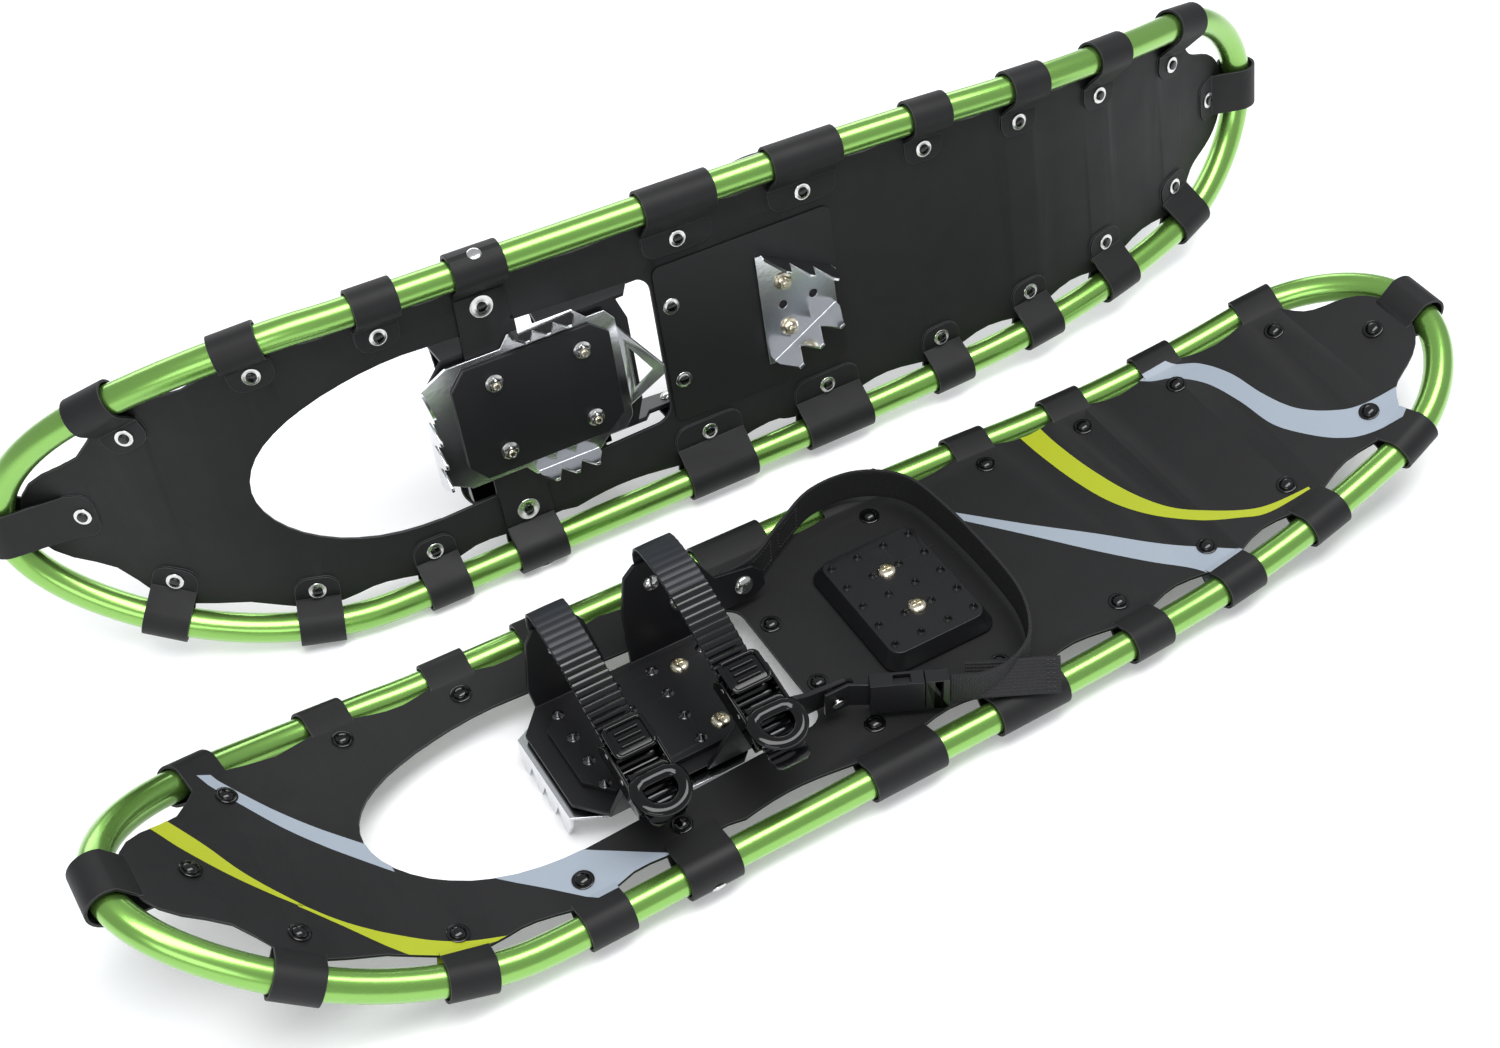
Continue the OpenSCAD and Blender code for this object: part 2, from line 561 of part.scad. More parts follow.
// Ratchet buckle in its own frame: floor under the strap, cheeks, two pins, lever and release
cheek_x = ladder_w / 2 + 2.2;
lever_pin = [14, 9];
release_pin = [-4, 9.5];
pin_r = 1.5;
module buckle_base() color("#0e0e10") difference() {
    union() {
        translate([-cheek_x - 1.2, -14, -2]) cube([2 * cheek_x + 2.4, 48, 2]);
        for (side = [1, -1]) translate([side * cheek_x, 0, 0]) along_x(2.4)
            polygon([[-14, -2], [34, -2], [34, 4], [20, 12.5], [-7, 13], [-14, 5]]);
    }
    for (p = [lever_pin, release_pin]) translate([0, p[0], p[1]]) rotate([0, 90, 0])
        cylinder(r = pin_r + 0.05, h = 60, center = true);
    translate([0, buckle_rivet_y, 0]) cylinder(r = 2.4, h = 10, center = true);
}
module buckle_pins() color("#c9cbcd") {
    for (p = [lever_pin, release_pin]) translate([0, p[0], p[1]]) rotate([0, 90, 0])
        cylinder(r = pin_r, h = 2 * cheek_x + 3, center = true);
}
module hub(pin, r) {
    translate([0, pin[0], pin[1]]) rotate([0, 90, 0]) difference() {
        cylinder(r = r, h = ladder_w + 1.4, center = true);
        cylinder(r = pin_r + 0.05, h = 60, center = true);
    }
}
ring_z = 13.5;
ring_t = 4;
module buckle_lever() color("#0e0e10") {
    hub(lever_pin, 3.8);
    difference() {
        along_x(ladder_w + 1.4)
            polygon([[lever_pin[0] - 3.4, lever_pin[1] + 1.6], [lever_pin[0] + 3.4, lever_pin[1] + 1.6],
                [lever_pin[0] + 5, ring_z + 1], [lever_pin[0] - 3.4, ring_z + 1]]);
        translate([0, lever_pin[0], lever_pin[1]]) rotate([0, 90, 0]) cylinder(r = 3, h = 60, center = true);
    }
    translate([0, 0, ring_z]) linear_extrude(ring_t) difference() {
        polygon(concat([[-12.2, 11], [12.2, 11], [12.2, 19], [18, 27]],
            [for (a = [0 : 10 : 180]) [18 * cos(a), 30 + 18 * sin(a)]], [[-18, 27], [-12.2, 19]]));
        polygon(concat([[-10, 24], [10, 24]], [for (a = [0 : 15 : 180]) [11 * cos(a), 29 + 9 * sin(a)]]));
    }
}
module buckle_release() color("#0e0e10") {
    hub(release_pin, 3.4);
    difference() {
        along_x(ladder_w + 1.4) union() {
            polygon([[-7, 8.5], [-1, 11.5], [1, 15], [-4, 17], [-17, 14], [-17, 11.5], [-10, 11]]);
            polygon([[-7.3, 9.5], [-4.5, 6.8], [-6.5, 4.9], [-8.5, 4.9], [-9, 11]]);
            for (y = [-15, -12, -9]) translate([y, 14.4]) square([1.2, 2.2]);
        }
        translate([0, release_pin[0], release_pin[1]]) rotate([0, 90, 0])
            cylinder(r = 2.6, h = 60, center = true);
    }
}

// Heel strap: webbing on edge from the far arm round behind the heel to the side buckle
heel_line = [[-44, 57.6], [-30, 57.6], [-16, 61], [10, 76], [40, 90], [72, 88], [96, 68], [103, 32],
    [104, -20], [100, -55], [86, -82], [66, -93], [46, -93], [28.6, -84.8]];
heel_strap_t = 2.4;
heel_strap_z = [5.4, 28];
heel_strap_w = heel_strap_z[1] - heel_strap_z[0];
tail_at = [37, -88.8, 6.2];     // the webbing's free tail leaves here, leans back, and ends over the rail
tail_line = [[0, 0], [15, -1.5], [31, 0], [45, 1.5], [56, 0.5]];
tail_tilt = -38;
left_tail_turn = -29;
right_tail_turn = -11;          // on the standing shoe the ground keeps the tail further in
module heel_strap(tail_turn) color("#1d1d1f") difference() {
    union() {
        translate([0, 0, heel_strap_z[0]]) linear_extrude(heel_strap_w)
            polygon(band(spline(heel_line, 5), heel_strap_t));
        translate(tail_at) rotate([0, 0, tail_turn]) rotate([tail_tilt, 0, 0]) linear_extrude(heel_strap_w)
            polygon(band(spline(tail_line, 3), heel_strap_t));
    }
    at_wing_rivets() cylinder(r = 2.4, h = 20, center = true);
}

// Side-release buckle: +X along its own axis, away from the anchor tab
module at_heel_buckle() {
    translate([-14, -64, 17.4]) rotate([0, 0, -26]) children();
}
socket_size = [32, 10, 24];
module heel_buckle_socket() color("#151517") {
    at_heel_buckle() difference() {
        translate([0, -5, -12]) cube(socket_size);
        translate([8, -3.2, -10]) cube([30, 6.4, 20]);
        for (side = [1, -1]) translate([14, -3.2, side * 10 - 3]) cube([10, 6.4, 6]);
    }
    difference() {
        translate([0, 0, 8]) linear_extrude(18)
            polygon(band([[-40, -56.8], [-24, -57], [-10, -65.6]], heel_strap_t));
        at_wing_rivets() cylinder(r = 2.4, h = 20, center = true);
    }
}
module heel_buckle_plug() color("#151517") at_heel_buckle() difference() {
    union() {
        translate([32.4, -5, -12]) cube([14, 10, 24]);
        translate([10, -2.8, -1.5]) cube([24, 5.6, 3]);
        for (side = [1, -1]) translate([10, -2.8, side * 7.4 - 2]) cube([24, 5.6, 4]);
    }
    translate([38, -8, -11.4]) cube([4.5, 16, 22.8]);
}

// The two shoes as they stand: the left lies on its teeth, the right stands on its rail
pair_middle = [18.3, 93.1];
right_ahead = 35;
right_yaw = -2.2;
rest_sink = 0.2;     // the lowest tab is a little nearer the tube than a wrap's full radius
right_h = half_width(ball_x) * cos(lean) - rail_drop * sin(lean) + tube_r + tab_clear + tab_t - rest_sink;
module left() {
    translate([-pair_middle[0], -pair_middle[1], -tooth_tip]) children();
}
module right() {
    translate([right_ahead - pair_middle[0], pair_gap - pair_middle[1], right_h])
        rotate([0, 0, right_yaw]) rotate([270 - lean, 0, 0]) mirror([0, 1, 0]) children();
}

left() frame_tube();  // left_frame_tube
left() deck();  // left_deck
left() deck_doubler();  // left_deck_doubler
left() deck_rivets();  // left_deck_rivets
left() rivet_washers();  // left_rivet_washers
left() pivot_strap();  // left_pivot_strap
left() strap_rivets();  // left_strap_rivets
left() heel_pad();  // left_heel_pad
left() heel_crampon();  // left_heel_crampon
left() heel_bolts();  // left_heel_bolts
left() toe_crampon();  // left_toe_crampon
left() harness();  // left_harness
left() toe_plate();  // left_toe_plate
left() under_plate();  // left_under_plate
left() binding_bolts();  // left_binding_bolts
left() binding_nuts();  // left_binding_nuts
left() harness_rivets();  // left_harness_rivets
left() toe_ladder();  // left_toe_ladder
left() instep_ladder();  // left_instep_ladder
left() at_toe_buckle() buckle_base();  // left_toe_buckle_base
left() at_toe_buckle() buckle_pins();  // left_toe_buckle_pins
left() at_toe_buckle() buckle_lever();  // left_toe_buckle_lever
left() at_toe_buckle() buckle_release();  // left_toe_buckle_release
left() at_instep_buckle() buckle_base();  // left_instep_buckle_base
left() at_instep_buckle() buckle_pins();  // left_instep_buckle_pins
left() at_instep_buckle() buckle_lever();  // left_instep_buckle_lever
left() at_instep_buckle() buckle_release();  // left_instep_buckle_release
left() heel_strap(left_tail_turn);  // left_heel_strap
left() heel_buckle_socket();  // left_heel_buckle_socket
left() heel_buckle_plug();  // left_heel_buckle_plug
right() frame_tube();  // right_frame_tube
right() deck();  // right_deck
right() deck_doubler();  // right_deck_doubler
right() deck_rivets();  // right_deck_rivets
right() rivet_washers();  // right_rivet_washers
right() pivot_strap();  // right_pivot_strap
right() strap_rivets();  // right_strap_rivets
right() heel_pad();  // right_heel_pad
right() heel_crampon();  // right_heel_crampon
right() heel_bolts();  // right_heel_bolts
right() toe_crampon();  // right_toe_crampon
right() harness();  // right_harness
right() toe_plate();  // right_toe_plate
right() under_plate();  // right_under_plate
right() binding_bolts();  // right_binding_bolts
right() binding_nuts();  // right_binding_nuts
right() harness_rivets();  // right_harness_rivets
right() toe_ladder();  // right_toe_ladder
right() instep_ladder();  // right_instep_ladder
right() at_toe_buckle() buckle_base();  // right_toe_buckle_base
right() at_toe_buckle() buckle_pins();  // right_toe_buckle_pins
right() at_toe_buckle() buckle_lever();  // right_toe_buckle_lever
right() at_toe_buckle() buckle_release();  // right_toe_buckle_release
right() at_instep_buckle() buckle_base();  // right_instep_buckle_base
right() at_instep_buckle() buckle_pins();  // right_instep_buckle_pins
right() at_instep_buckle() buckle_lever();  // right_instep_buckle_lever
right() at_instep_buckle() buckle_release();  // right_instep_buckle_release
right() heel_strap(right_tail_turn);  // right_heel_strap
right() heel_buckle_socket();  // right_heel_buckle_socket
right() heel_buckle_plug();  // right_heel_buckle_plug
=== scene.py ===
"""Looks of a pair of snowshoes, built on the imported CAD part: smooth tubes, printed decks, turned rivets,
ribbed and woven straps, and a soft white studio."""

import json
import math

import bmesh
import bpy
import numpy as np
from mathutils import Matrix, Vector

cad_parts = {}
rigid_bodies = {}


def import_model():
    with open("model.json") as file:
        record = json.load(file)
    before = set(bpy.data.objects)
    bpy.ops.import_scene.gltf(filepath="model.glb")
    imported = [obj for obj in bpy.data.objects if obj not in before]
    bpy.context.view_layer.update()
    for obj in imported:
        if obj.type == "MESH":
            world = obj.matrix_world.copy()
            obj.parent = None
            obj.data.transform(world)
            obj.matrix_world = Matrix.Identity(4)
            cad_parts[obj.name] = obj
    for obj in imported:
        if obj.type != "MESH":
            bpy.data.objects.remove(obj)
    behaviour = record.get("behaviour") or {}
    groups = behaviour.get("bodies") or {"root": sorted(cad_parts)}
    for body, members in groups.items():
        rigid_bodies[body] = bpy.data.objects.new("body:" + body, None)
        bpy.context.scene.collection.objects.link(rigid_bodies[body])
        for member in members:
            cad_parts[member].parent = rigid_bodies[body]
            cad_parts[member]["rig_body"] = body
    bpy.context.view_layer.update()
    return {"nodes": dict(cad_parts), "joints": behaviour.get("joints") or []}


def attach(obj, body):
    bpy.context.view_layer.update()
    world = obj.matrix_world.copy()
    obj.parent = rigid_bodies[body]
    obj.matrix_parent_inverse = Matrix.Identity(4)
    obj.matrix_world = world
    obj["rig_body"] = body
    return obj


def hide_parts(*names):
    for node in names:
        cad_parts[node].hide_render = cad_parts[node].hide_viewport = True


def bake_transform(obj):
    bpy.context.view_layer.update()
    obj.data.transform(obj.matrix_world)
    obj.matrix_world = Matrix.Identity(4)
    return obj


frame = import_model()

MM = 0.001
SIDES = ("left", "right")
TO_FIT = math.radians(35)      # edges sharper than this stay crisp

# ---------------------------------------------------------------- the two shoes' own frames

YAW = math.radians(-2.2)       # the standing shoe's turn about the vertical
STOOD_UP = math.radians(260)   # stood on its side, leaning back 10 degrees
PIVOT = Vector((-146, 0, -3.55))


def joint_point(name):
    """Anchor of a joint, in the row's frame"""
    joint = next(j for j in frame["joints"] if j["name"] == name)
    return Vector(joint["pos_m"])


def shoe_matrix(side):
    """Takes a shoe's own millimetres (+X toe to tail, +Z off the deck) to the row's frame"""
    turn = Matrix.Identity(4)
    if side == "right":
        mirror = Matrix.Diagonal((1, -1, 1, 1))
        turn = Matrix.Rotation(YAW, 4, "Z") @ Matrix.Rotation(STOOD_UP, 4, "X") @ mirror
    turn = turn @ Matrix.Scale(MM, 4)
    turn.translation = joint_point(side + "_binding_pivot") - turn.to_3x3() @ PIVOT
    return turn


PLACE = {side: shoe_matrix(side) for side in SIDES}

# ---------------------------------------------------------------- shape of the frame and the deck

TOE_X, TAIL_X = -442, 442.5
BALL_X, HEEL_X, TAIL_ROUND_X = -255, 60, 372
HALF_WIDTH = 211 / 2
TUBE_R = 9.5
RAIL_DROP = 8


def past(value):
    return max(0.0, value)


def rise(x):
    """Height of the deck's top at x: flat, curled up at the toe and at the tail"""
    toe = past(-225 - x)
    curl = toe * toe / 542 if toe < 158 else 158 * 158 / 542 + (toe - 158) * 158 / 271
    return curl + past(x - 191) ** 2 / 1074


def slope(x):
    return rise(x + 0.5) - rise(x - 0.5)


def half_width(x):
    """From the shoe's middle line to the tube's centre"""
    side = HALF_WIDTH - 0.0176 * past(x - BALL_X) - 0.00018 * past(x - HEEL_X) ** 2
    toe = past(1 - (past(BALL_X - x) / (BALL_X - TOE_X)) ** 1.75) ** 0.5
    tail = past(1 - (past(x - TAIL_ROUND_X) / (TAIL_X - TAIL_ROUND_X)) ** 2) ** 0.5
    return side * toe * tail


def on_deck(x, y, height=0.0):
    normal = Vector((-slope(x), 0, 1)).normalized()
    return Vector((x, y, rise(x))) + height * normal


# ---------------------------------------------------------------- mesh building


class Shape:
    """Vertices and faces of one piece, in its shoe's millimetres"""

    def __init__(self):
        self.points, self.faces, self.slots, self.uvs = [], [], [], {}

    def add(self, points, faces, slot=0):
        first = len(self.points)
        self.points += [Vector(p) for p in points]
        self.faces += [[first + i for i in face] for face in faces]
        self.slots += [slot] * len(faces)
        return first


def basis(axis):
    """Two directions square to an axis"""
    axis = Vector(axis).normalized()
    other = Vector((1, 0, 0)) if abs(axis.x) < 0.8 else Vector((0, 1, 0))
    across = axis.cross(other).normalized()
    return across, axis.cross(across), axis


def turned(shape, profile, at=(0, 0, 0), axis=(0, 0, 1), sides=32, slot=0, closed=False):
    """A turned solid from [radius, height] pairs. A closed profile makes a ring."""
    across, up, axis = basis(axis)
    points, rings, faces = [], [], []
    for radius, height in profile:
        count = sides if radius > 1e-6 else 1
        rings.append((len(points), count))
        for k in range(count):
            a = 2 * math.pi * k / count
            points.append(Vector(at) + axis * height + radius * (math.cos(a) * across + math.sin(a) * up))
    pairs = list(zip(rings, rings[1:] + rings[:1])) if closed else list(zip(rings, rings[1:]))
    for (low, n_low), (high, n_high) in pairs:
        for k in range(sides):
            m = (k + 1) % sides
            face = [low + k % n_low, low + m % n_low, high + m % n_high, high + k % n_high]
            faces.append([v for i, v in enumerate(face) if v not in face[:i]])
    shape.add(points, faces, slot)


def swept(shape, rings, loop=False, slot=0):
    """Skin over rings of points of equal number, capped at both ends unless it closes on itself"""
    n = len(rings[0])
    points = [p for ring in rings for p in ring]
    spans = range(len(rings) if loop else len(rings) - 1)
    faces = []
    for i in spans:
        a, b = i * n, ((i + 1) % len(rings)) * n
        faces += [[a + k, a + (k + 1) % n, b + (k + 1) % n, b + k] for k in range(n)]
    if not loop:
        faces += [list(range(n))[::-1], [(len(rings) - 1) * n + k for k in range(n)]]
    shape.add(points, faces, slot)


def spline(points, steps):
    """A smooth line through given points"""
    out = []
    vectors = [Vector(p) for p in points]
    for i in range(len(vectors) - 1):
        a, b = vectors[max(i - 1, 0)], vectors[i]
        c, d = vectors[i + 1], vectors[min(i + 2, len(vectors) - 1)]
        for k in range(steps):
            u = k / steps
            out.append(0.5 * (2 * b + (c - a) * u + (2 * a - 5 * b + 4 * c - d) * u * u
                              + (3 * b - a - 3 * c + d) * u ** 3))
    return out + [vectors[-1]]


def walk(points, distances):
    """Points at the given distances along a line"""
    runs = [0.0]
    for a, b in zip(points, points[1:]):
        runs.append(runs[-1] + (b - a).length)
    out = []
    for s in distances:
        i = max(k for k in range(len(runs) - 1) if runs[k] <= s or k == 0)
        out.append(points[i].lerp(points[i + 1], min(1, (s - runs[i]) / max(runs[i + 1] - runs[i], 1e-9))))
    return out


def length_of(points):
    return sum((b - a).length for a, b in zip(points, points[1:]))


def tube_along(shape, path, radius, sides=8, slot=0, loop=False):
    """A round bead or thread along points"""
    rings = []
    n = len(path)
    for i, p in enumerate(path):
        after = path[(i + 1) % n] if loop else path[min(i + 1, n - 1)]
        before = path[(i - 1) % n] if loop else path[max(i - 1, 0)]
        across, up, _ = basis(after - before)
        rings.append([p + radius * (math.cos(2 * math.pi * k / sides) * across
                                    + math.sin(2 * math.pi * k / sides) * up) for k in range(sides)])
    swept(shape, rings, loop, slot)


# ---------------------------------------------------------------- pieces


def shade(mesh, sharp=TO_FIT):
    mesh.shade_smooth()
    mesh.set_sharp_from_angle(angle=sharp)


def mesh_of(side, name, shape):
    """Blender mesh of a shape, in the row's frame, with all faces turned outwards"""
    mesh = bpy.data.meshes.new(name)
    mesh.from_pydata([PLACE[side] @ p for p in shape.points], [], shape.faces)
    for polygon, slot in zip(mesh.polygons, shape.slots):
        polygon.material_index = slot
    if shape.uvs:
        layer = mesh.uv_layers.new(name="UVMap")
        for loop in mesh.loops:
            layer.data[loop.index].uv = shape.uvs.get(loop.vertex_index, (0, 0))
    work = bmesh.new()
    work.from_mesh(mesh)
    bmesh.ops.recalc_face_normals(work, faces=work.faces)
    work.to_mesh(mesh)
    work.free()
    return mesh


def stand_in(side, name, mesh, materials, nodes, body=None, sharp=TO_FIT, blend=None):
    """Puts a mesh into the scene in place of CAD nodes, on their body; given a blend, it is only fixed in the
    row's frame
    """
    slots = [polygon.material_index for polygon in mesh.polygons]
    mesh.materials.clear()
    for material in materials:
        mesh.materials.append(material)
    for polygon, used in zip(mesh.polygons, slots):
        polygon.material_index = used
    shade(mesh, sharp)
    piece = bpy.data.objects.new(f"{side}_{name}", mesh)
    bpy.context.scene.collection.objects.link(piece)
    names = [f"{side}_{node}" for node in nodes]
    if blend:
        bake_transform(piece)
    else:
        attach(piece, body or frame["nodes"][names[0]]["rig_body"])
    if body is None:
        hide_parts(*names)
    return piece


def welded(node):
    """A CAD node's mesh with its flat faces merged, ready for soft edges"""
    work = bmesh.new()
    work.from_mesh(frame["nodes"][node].data)
    bmesh.ops.remove_doubles(work, verts=work.verts, dist=0.01 * MM)
    bmesh.ops.dissolve_limit(work, angle_limit=math.radians(0.5), verts=work.verts, edges=work.edges,
                             delimit={"NORMAL"})
    return work


def soften(piece, width, edge_slot=-1):
    bevel = piece.modifiers.new("soft edges", "BEVEL")
    bevel.width = width * MM
    bevel.segments = 2
    bevel.limit_method = "ANGLE"
    bevel.angle_limit = TO_FIT
    bevel.use_clamp_overlap = False
    bevel.harden_normals = True
    bevel.material = edge_slot


def refined(side, node, materials, width=0.3, extra=None, edge_slot=-1):
    """The CAD node itself with soft edges, and with extra detail if given"""
    work = welded(f"{side}_{node}")
    mesh = bpy.data.meshes.new(node)
    if extra:
        added = mesh_of(side, "extra", extra)
        work.from_mesh(added)
    work.to_mesh(mesh)
    work.free()
    piece = stand_in(side, node + "_look", mesh, materials, [node])
    soften(piece, width, edge_slot)
    return piece


# ---------------------------------------------------------------- materials


def linear(*rgb):
    """Colour from the usual 0..255 values"""
    return tuple((c / 255 / 12.92) if c <= 10 else ((c / 255 + 0.055) / 1.055) ** 2.4 for c in rgb) + (1,)


def textured(nodes, links, kind, scale, stretch=(1, 1, 1), where="Object"):
    """A texture node in the piece's own coordinates, in repeats per metre"""
    place = nodes.new("ShaderNodeTexCoord")
    fit = nodes.new("ShaderNodeMapping")
    fit.inputs["Scale"].default_value = stretch
    texture = nodes.new(kind)
    texture.inputs["Scale"].default_value = scale
    links.new(place.outputs[where], fit.inputs["Vector"])
    links.new(fit.outputs["Vector"], texture.inputs["Vector"])
    return texture


def surface(name, colour, rough, metal=0.0, coat=0.0, other=None, blotch=45, drift=0.06,
            grain=0, depth=0.0, stretch=(1, 1, 1), cells=False, shine=0.5):
    """A procedural finish: two close colours, roughness that drifts, and a fine grain in the surface"""
    made = bpy.data.materials.new(name)
    made.use_nodes = True
    nodes, links = made.node_tree.nodes, made.node_tree.links
    shader = nodes["Principled BSDF"]
    shader.inputs["Metallic"].default_value = metal
    shader.inputs["Specular IOR Level"].default_value = shine
    shader.inputs["Coat Weight"].default_value = coat
    shader.inputs["Coat Roughness"].default_value = 0.12
    blotches = textured(nodes, links, "ShaderNodeTexNoise", blotch, stretch)
    blotches.inputs["Detail"].default_value = 4
    mix = nodes.new("ShaderNodeMix")
    mix.data_type = "RGBA"
    mix.inputs["A"].default_value = colour
    mix.inputs["B"].default_value = other or tuple(0.8 * c for c in colour[:3]) + (1,)
    links.new(blotches.outputs["Fac"], mix.inputs["Factor"])
    links.new(mix.outputs["Result"], shader.inputs["Base Color"])
    spread = nodes.new("ShaderNodeMapRange")
    spread.inputs["To Min"].default_value = rough - drift
    spread.inputs["To Max"].default_value = rough + drift
    links.new(blotches.outputs["Fac"], spread.inputs["Value"])
    links.new(spread.outputs["Result"], shader.inputs["Roughness"])
    if grain:
        kind = "ShaderNodeTexVoronoi" if cells else "ShaderNodeTexNoise"
        texture = textured(nodes, links, kind, grain, stretch)
        bump = nodes.new("ShaderNodeBump")
        bump.inputs["Distance"].default_value = depth * MM
        links.new(texture.outputs["Distance" if cells else "Fac"], bump.inputs["Height"])
        links.new(bump.outputs["Normal"], shader.inputs["Normal"])
    return made


def woven(name, colour, thread=1.5):
    """Webbing: two crossed waves over its length and width, thread by thread"""
    made = surface(name, colour, 0.72, blotch=300)
    nodes, links = made.node_tree.nodes, made.node_tree.links
    along = textured(nodes, links, "ShaderNodeTexWave", 1, where="UV")
    across = textured(nodes, links, "ShaderNodeTexWave", 1, where="UV")
    across.bands_direction = "Y"
    for wave, size in ((along, thread), (across, thread * 1.3)):
        wave.inputs["Scale"].default_value = 0.314 / size
        wave.inputs["Distortion"].default_value = 0.4
    product = nodes.new("ShaderNodeMath")
    product.operation = "MULTIPLY"
    links.new(along.outputs["Fac"], product.inputs[0])
    links.new(across.outputs["Fac"], product.inputs[1])
    bump = nodes.new("ShaderNodeBump")
    bump.inputs["Distance"].default_value = 0.35 * MM
    links.new(product.outputs["Value"], bump.inputs["Height"])
    links.new(bump.outputs["Normal"], nodes["Principled BSDF"].inputs["Normal"])
    return made


GREEN = surface("anodised_green", linear(136, 184, 90), 0.27, metal=0.88, coat=0.6,
                other=linear(124, 176, 80), blotch=30, drift=0.03, stretch=(0.2, 1, 1))
DECK = surface("deck_sheet", linear(27, 27, 28), 0.55, other=linear(20, 20, 21), grain=1500, depth=0.05,
               cells=True, shine=0.28)
DECK_EDGE = surface("deck_cut_edge", linear(58, 58, 60), 0.6, blotch=200)
LEAF = surface("doubler_sheet", linear(24, 24, 25), 0.4, grain=900, depth=0.02, shine=0.3)
RUBBER = surface("strap_rubber", linear(22, 22, 23), 0.5, grain=700, depth=0.03, shine=0.28)
SHEET = surface("harness_sheet", linear(22, 22, 24), 0.36, blotch=25, grain=1200, depth=0.02, shine=0.35)
MOULDED = surface("moulded_black", linear(22, 22, 24), 0.36, grain=1300, depth=0.03, shine=0.35)
GLOSS = surface("gloss_black", linear(5, 5, 6), 0.08, drift=0.03, blotch=80, shine=0.36)
LADDER = surface("ladder_grey", linear(36, 39, 44), 0.4, other=linear(26, 28, 32), blotch=60, shine=0.35)
LADDER_GLOSS = surface("ladder_gloss", linear(12, 12, 14), 0.16, blotch=60, shine=0.45)
RIVET = surface("rivet_black", linear(6, 6, 7), 0.12, drift=0.03, blotch=200)
STUD = surface("dark_stud", linear(92, 92, 95), 0.2, metal=1.0, drift=0.04, blotch=300)
STUD_BLACK = surface("black_stud", linear(20, 20, 21), 0.2, blotch=300)
STEEL = surface("plated_steel", linear(215, 215, 213), 0.2, metal=1.0, drift=0.05, blotch=250)
BRASSY = surface("passivated_steel", linear(222, 214, 192), 0.22, metal=1.0, drift=0.05, blotch=350)
CLAW = surface("rolled_aluminium", linear(222, 224, 227), 0.16, metal=1.0, drift=0.06, blotch=24,
               grain=260, depth=0.02, stretch=(1, 6, 1))
WEBBING = woven("webbing", linear(20, 20, 22))
THREAD = surface("stitching", linear(36, 36, 39), 0.6, blotch=600)
LIME = surface("print_lime", linear(164, 174, 26), 0.45, other=linear(158, 169, 24), grain=1500, depth=0.03,
               cells=True)
GREY = surface("print_grey", linear(150, 159, 170), 0.45, other=linear(144, 154, 166), grain=1500,
               depth=0.03, cells=True)
# painted shade: the near-black of the strip along the heel pad's slit stands for the shadow inside it
SLIT_SHADE = surface("slit_shadow", linear(8, 8, 9), 0.8, blotch=500)

# ---------------------------------------------------------------- frame tube


def tube_stations():
    """Places along one side from toe tip to tail tip, closer together on the curves"""
    toe = [BALL_X - (BALL_X - TOE_X) * math.cos(math.radians(a)) for a in range(0, 90, 3)]
    count = 56
    straight = [BALL_X + (TAIL_ROUND_X - BALL_X) * i / count for i in range(count)]
    tail = [TAIL_ROUND_X + (TAIL_X - TAIL_ROUND_X) * math.sin(math.radians(a)) for a in range(0, 91, 3)]
    return toe + straight + tail


def frame_tube(side):
    xs = tube_stations()
    path = [on_deck(x, half_width(x), -RAIL_DROP) for x in xs]
    path += [on_deck(x, -half_width(x), -RAIL_DROP) for x in xs[-2:0:-1]]
    rings, sides = [], 36
    for i, p in enumerate(path):
        along = (path[(i + 1) % len(path)] - path[i - 1]).normalized()
        across = along.cross(Vector((0, 0, 1))).normalized()
        up = across.cross(along)
        rings.append([p + TUBE_R * (math.cos(2 * math.pi * k / sides) * across
                                    + math.sin(2 * math.pi * k / sides) * up) for k in range(sides)])
    shape = Shape()
    swept(shape, rings, loop=True)
    mesh = mesh_of(side, "frame_tube", shape)
    stand_in(side, "frame_tube_look", mesh, [GREEN], ["frame_tube"])


# ---------------------------------------------------------------- deck and its printed stripes

# Each stripe is the area between two lines, both run the same way
LIME_TOE_FRONT = ([[-417, 66], [-401, 41], [-387, 18], [-374, -7], [-354, -35]],
                  [[-426, 58], [-409, 33], [-398, 15], [-379, -10], [-355, -36]])
LIME_TOE_REAR = ([[-356, -33], [-336, -54], [-307, -75], [-285, -86], [-256, -94]],
                 [[-357, -35], [-343, -51], [-323, -76], [-302, -99], [-290, -112], [-256, -112]])
LIME_TAIL = ([[208, 104], [209, 83], [210, 61], [214, 32], [222, 1], [234, -24], [251, -41], [271, -56],
              [286, -62], [310, -66]],
             [[192, 104], [193, 84], [195, 58], [200, 26], [208, -1], [222, -24], [243, -45], [263, -58],
              [279, -66], [310, -68]])
GREY_TOE = ([[-387, 106], [-373, 82], [-354, 53], [-332, 25], [-300, -8]],
             [[-391, 102], [-377, 77], [-359, 47], [-336, 14], [-300, -26]])
GREY_PATCH = ([[-215, -42], [-209, -55], [-182, -75], [-150, -97]],
              [[-262, -45], [-249, -57], [-228, -77], [-206, -100]])
GREY_WAVE = ([[300, 92], [309, 73], [323, 60], [332, 39], [336, 12], [343, -11], [357, -29], [375, -40],
              [412, -47]],
             [[278, 84], [290, 70], [304, 61], [316, 43], [322, 17], [325, -11], [334, -31], [347, -49],
              [363, -60], [400, -70]])
GREY_LONG = ([[118, 48], [151, 14], [184, -18], [211, -46], [229, -62], [250, -80]],
             [[117, 41], [146, 6], [175, -30], [196, -54], [215, -74], [224, -90]])
SHEET_EDGE = 8.5      # the sheet's flat part ends this far inside the tube's centre
PRINT_LIFT = 0.13


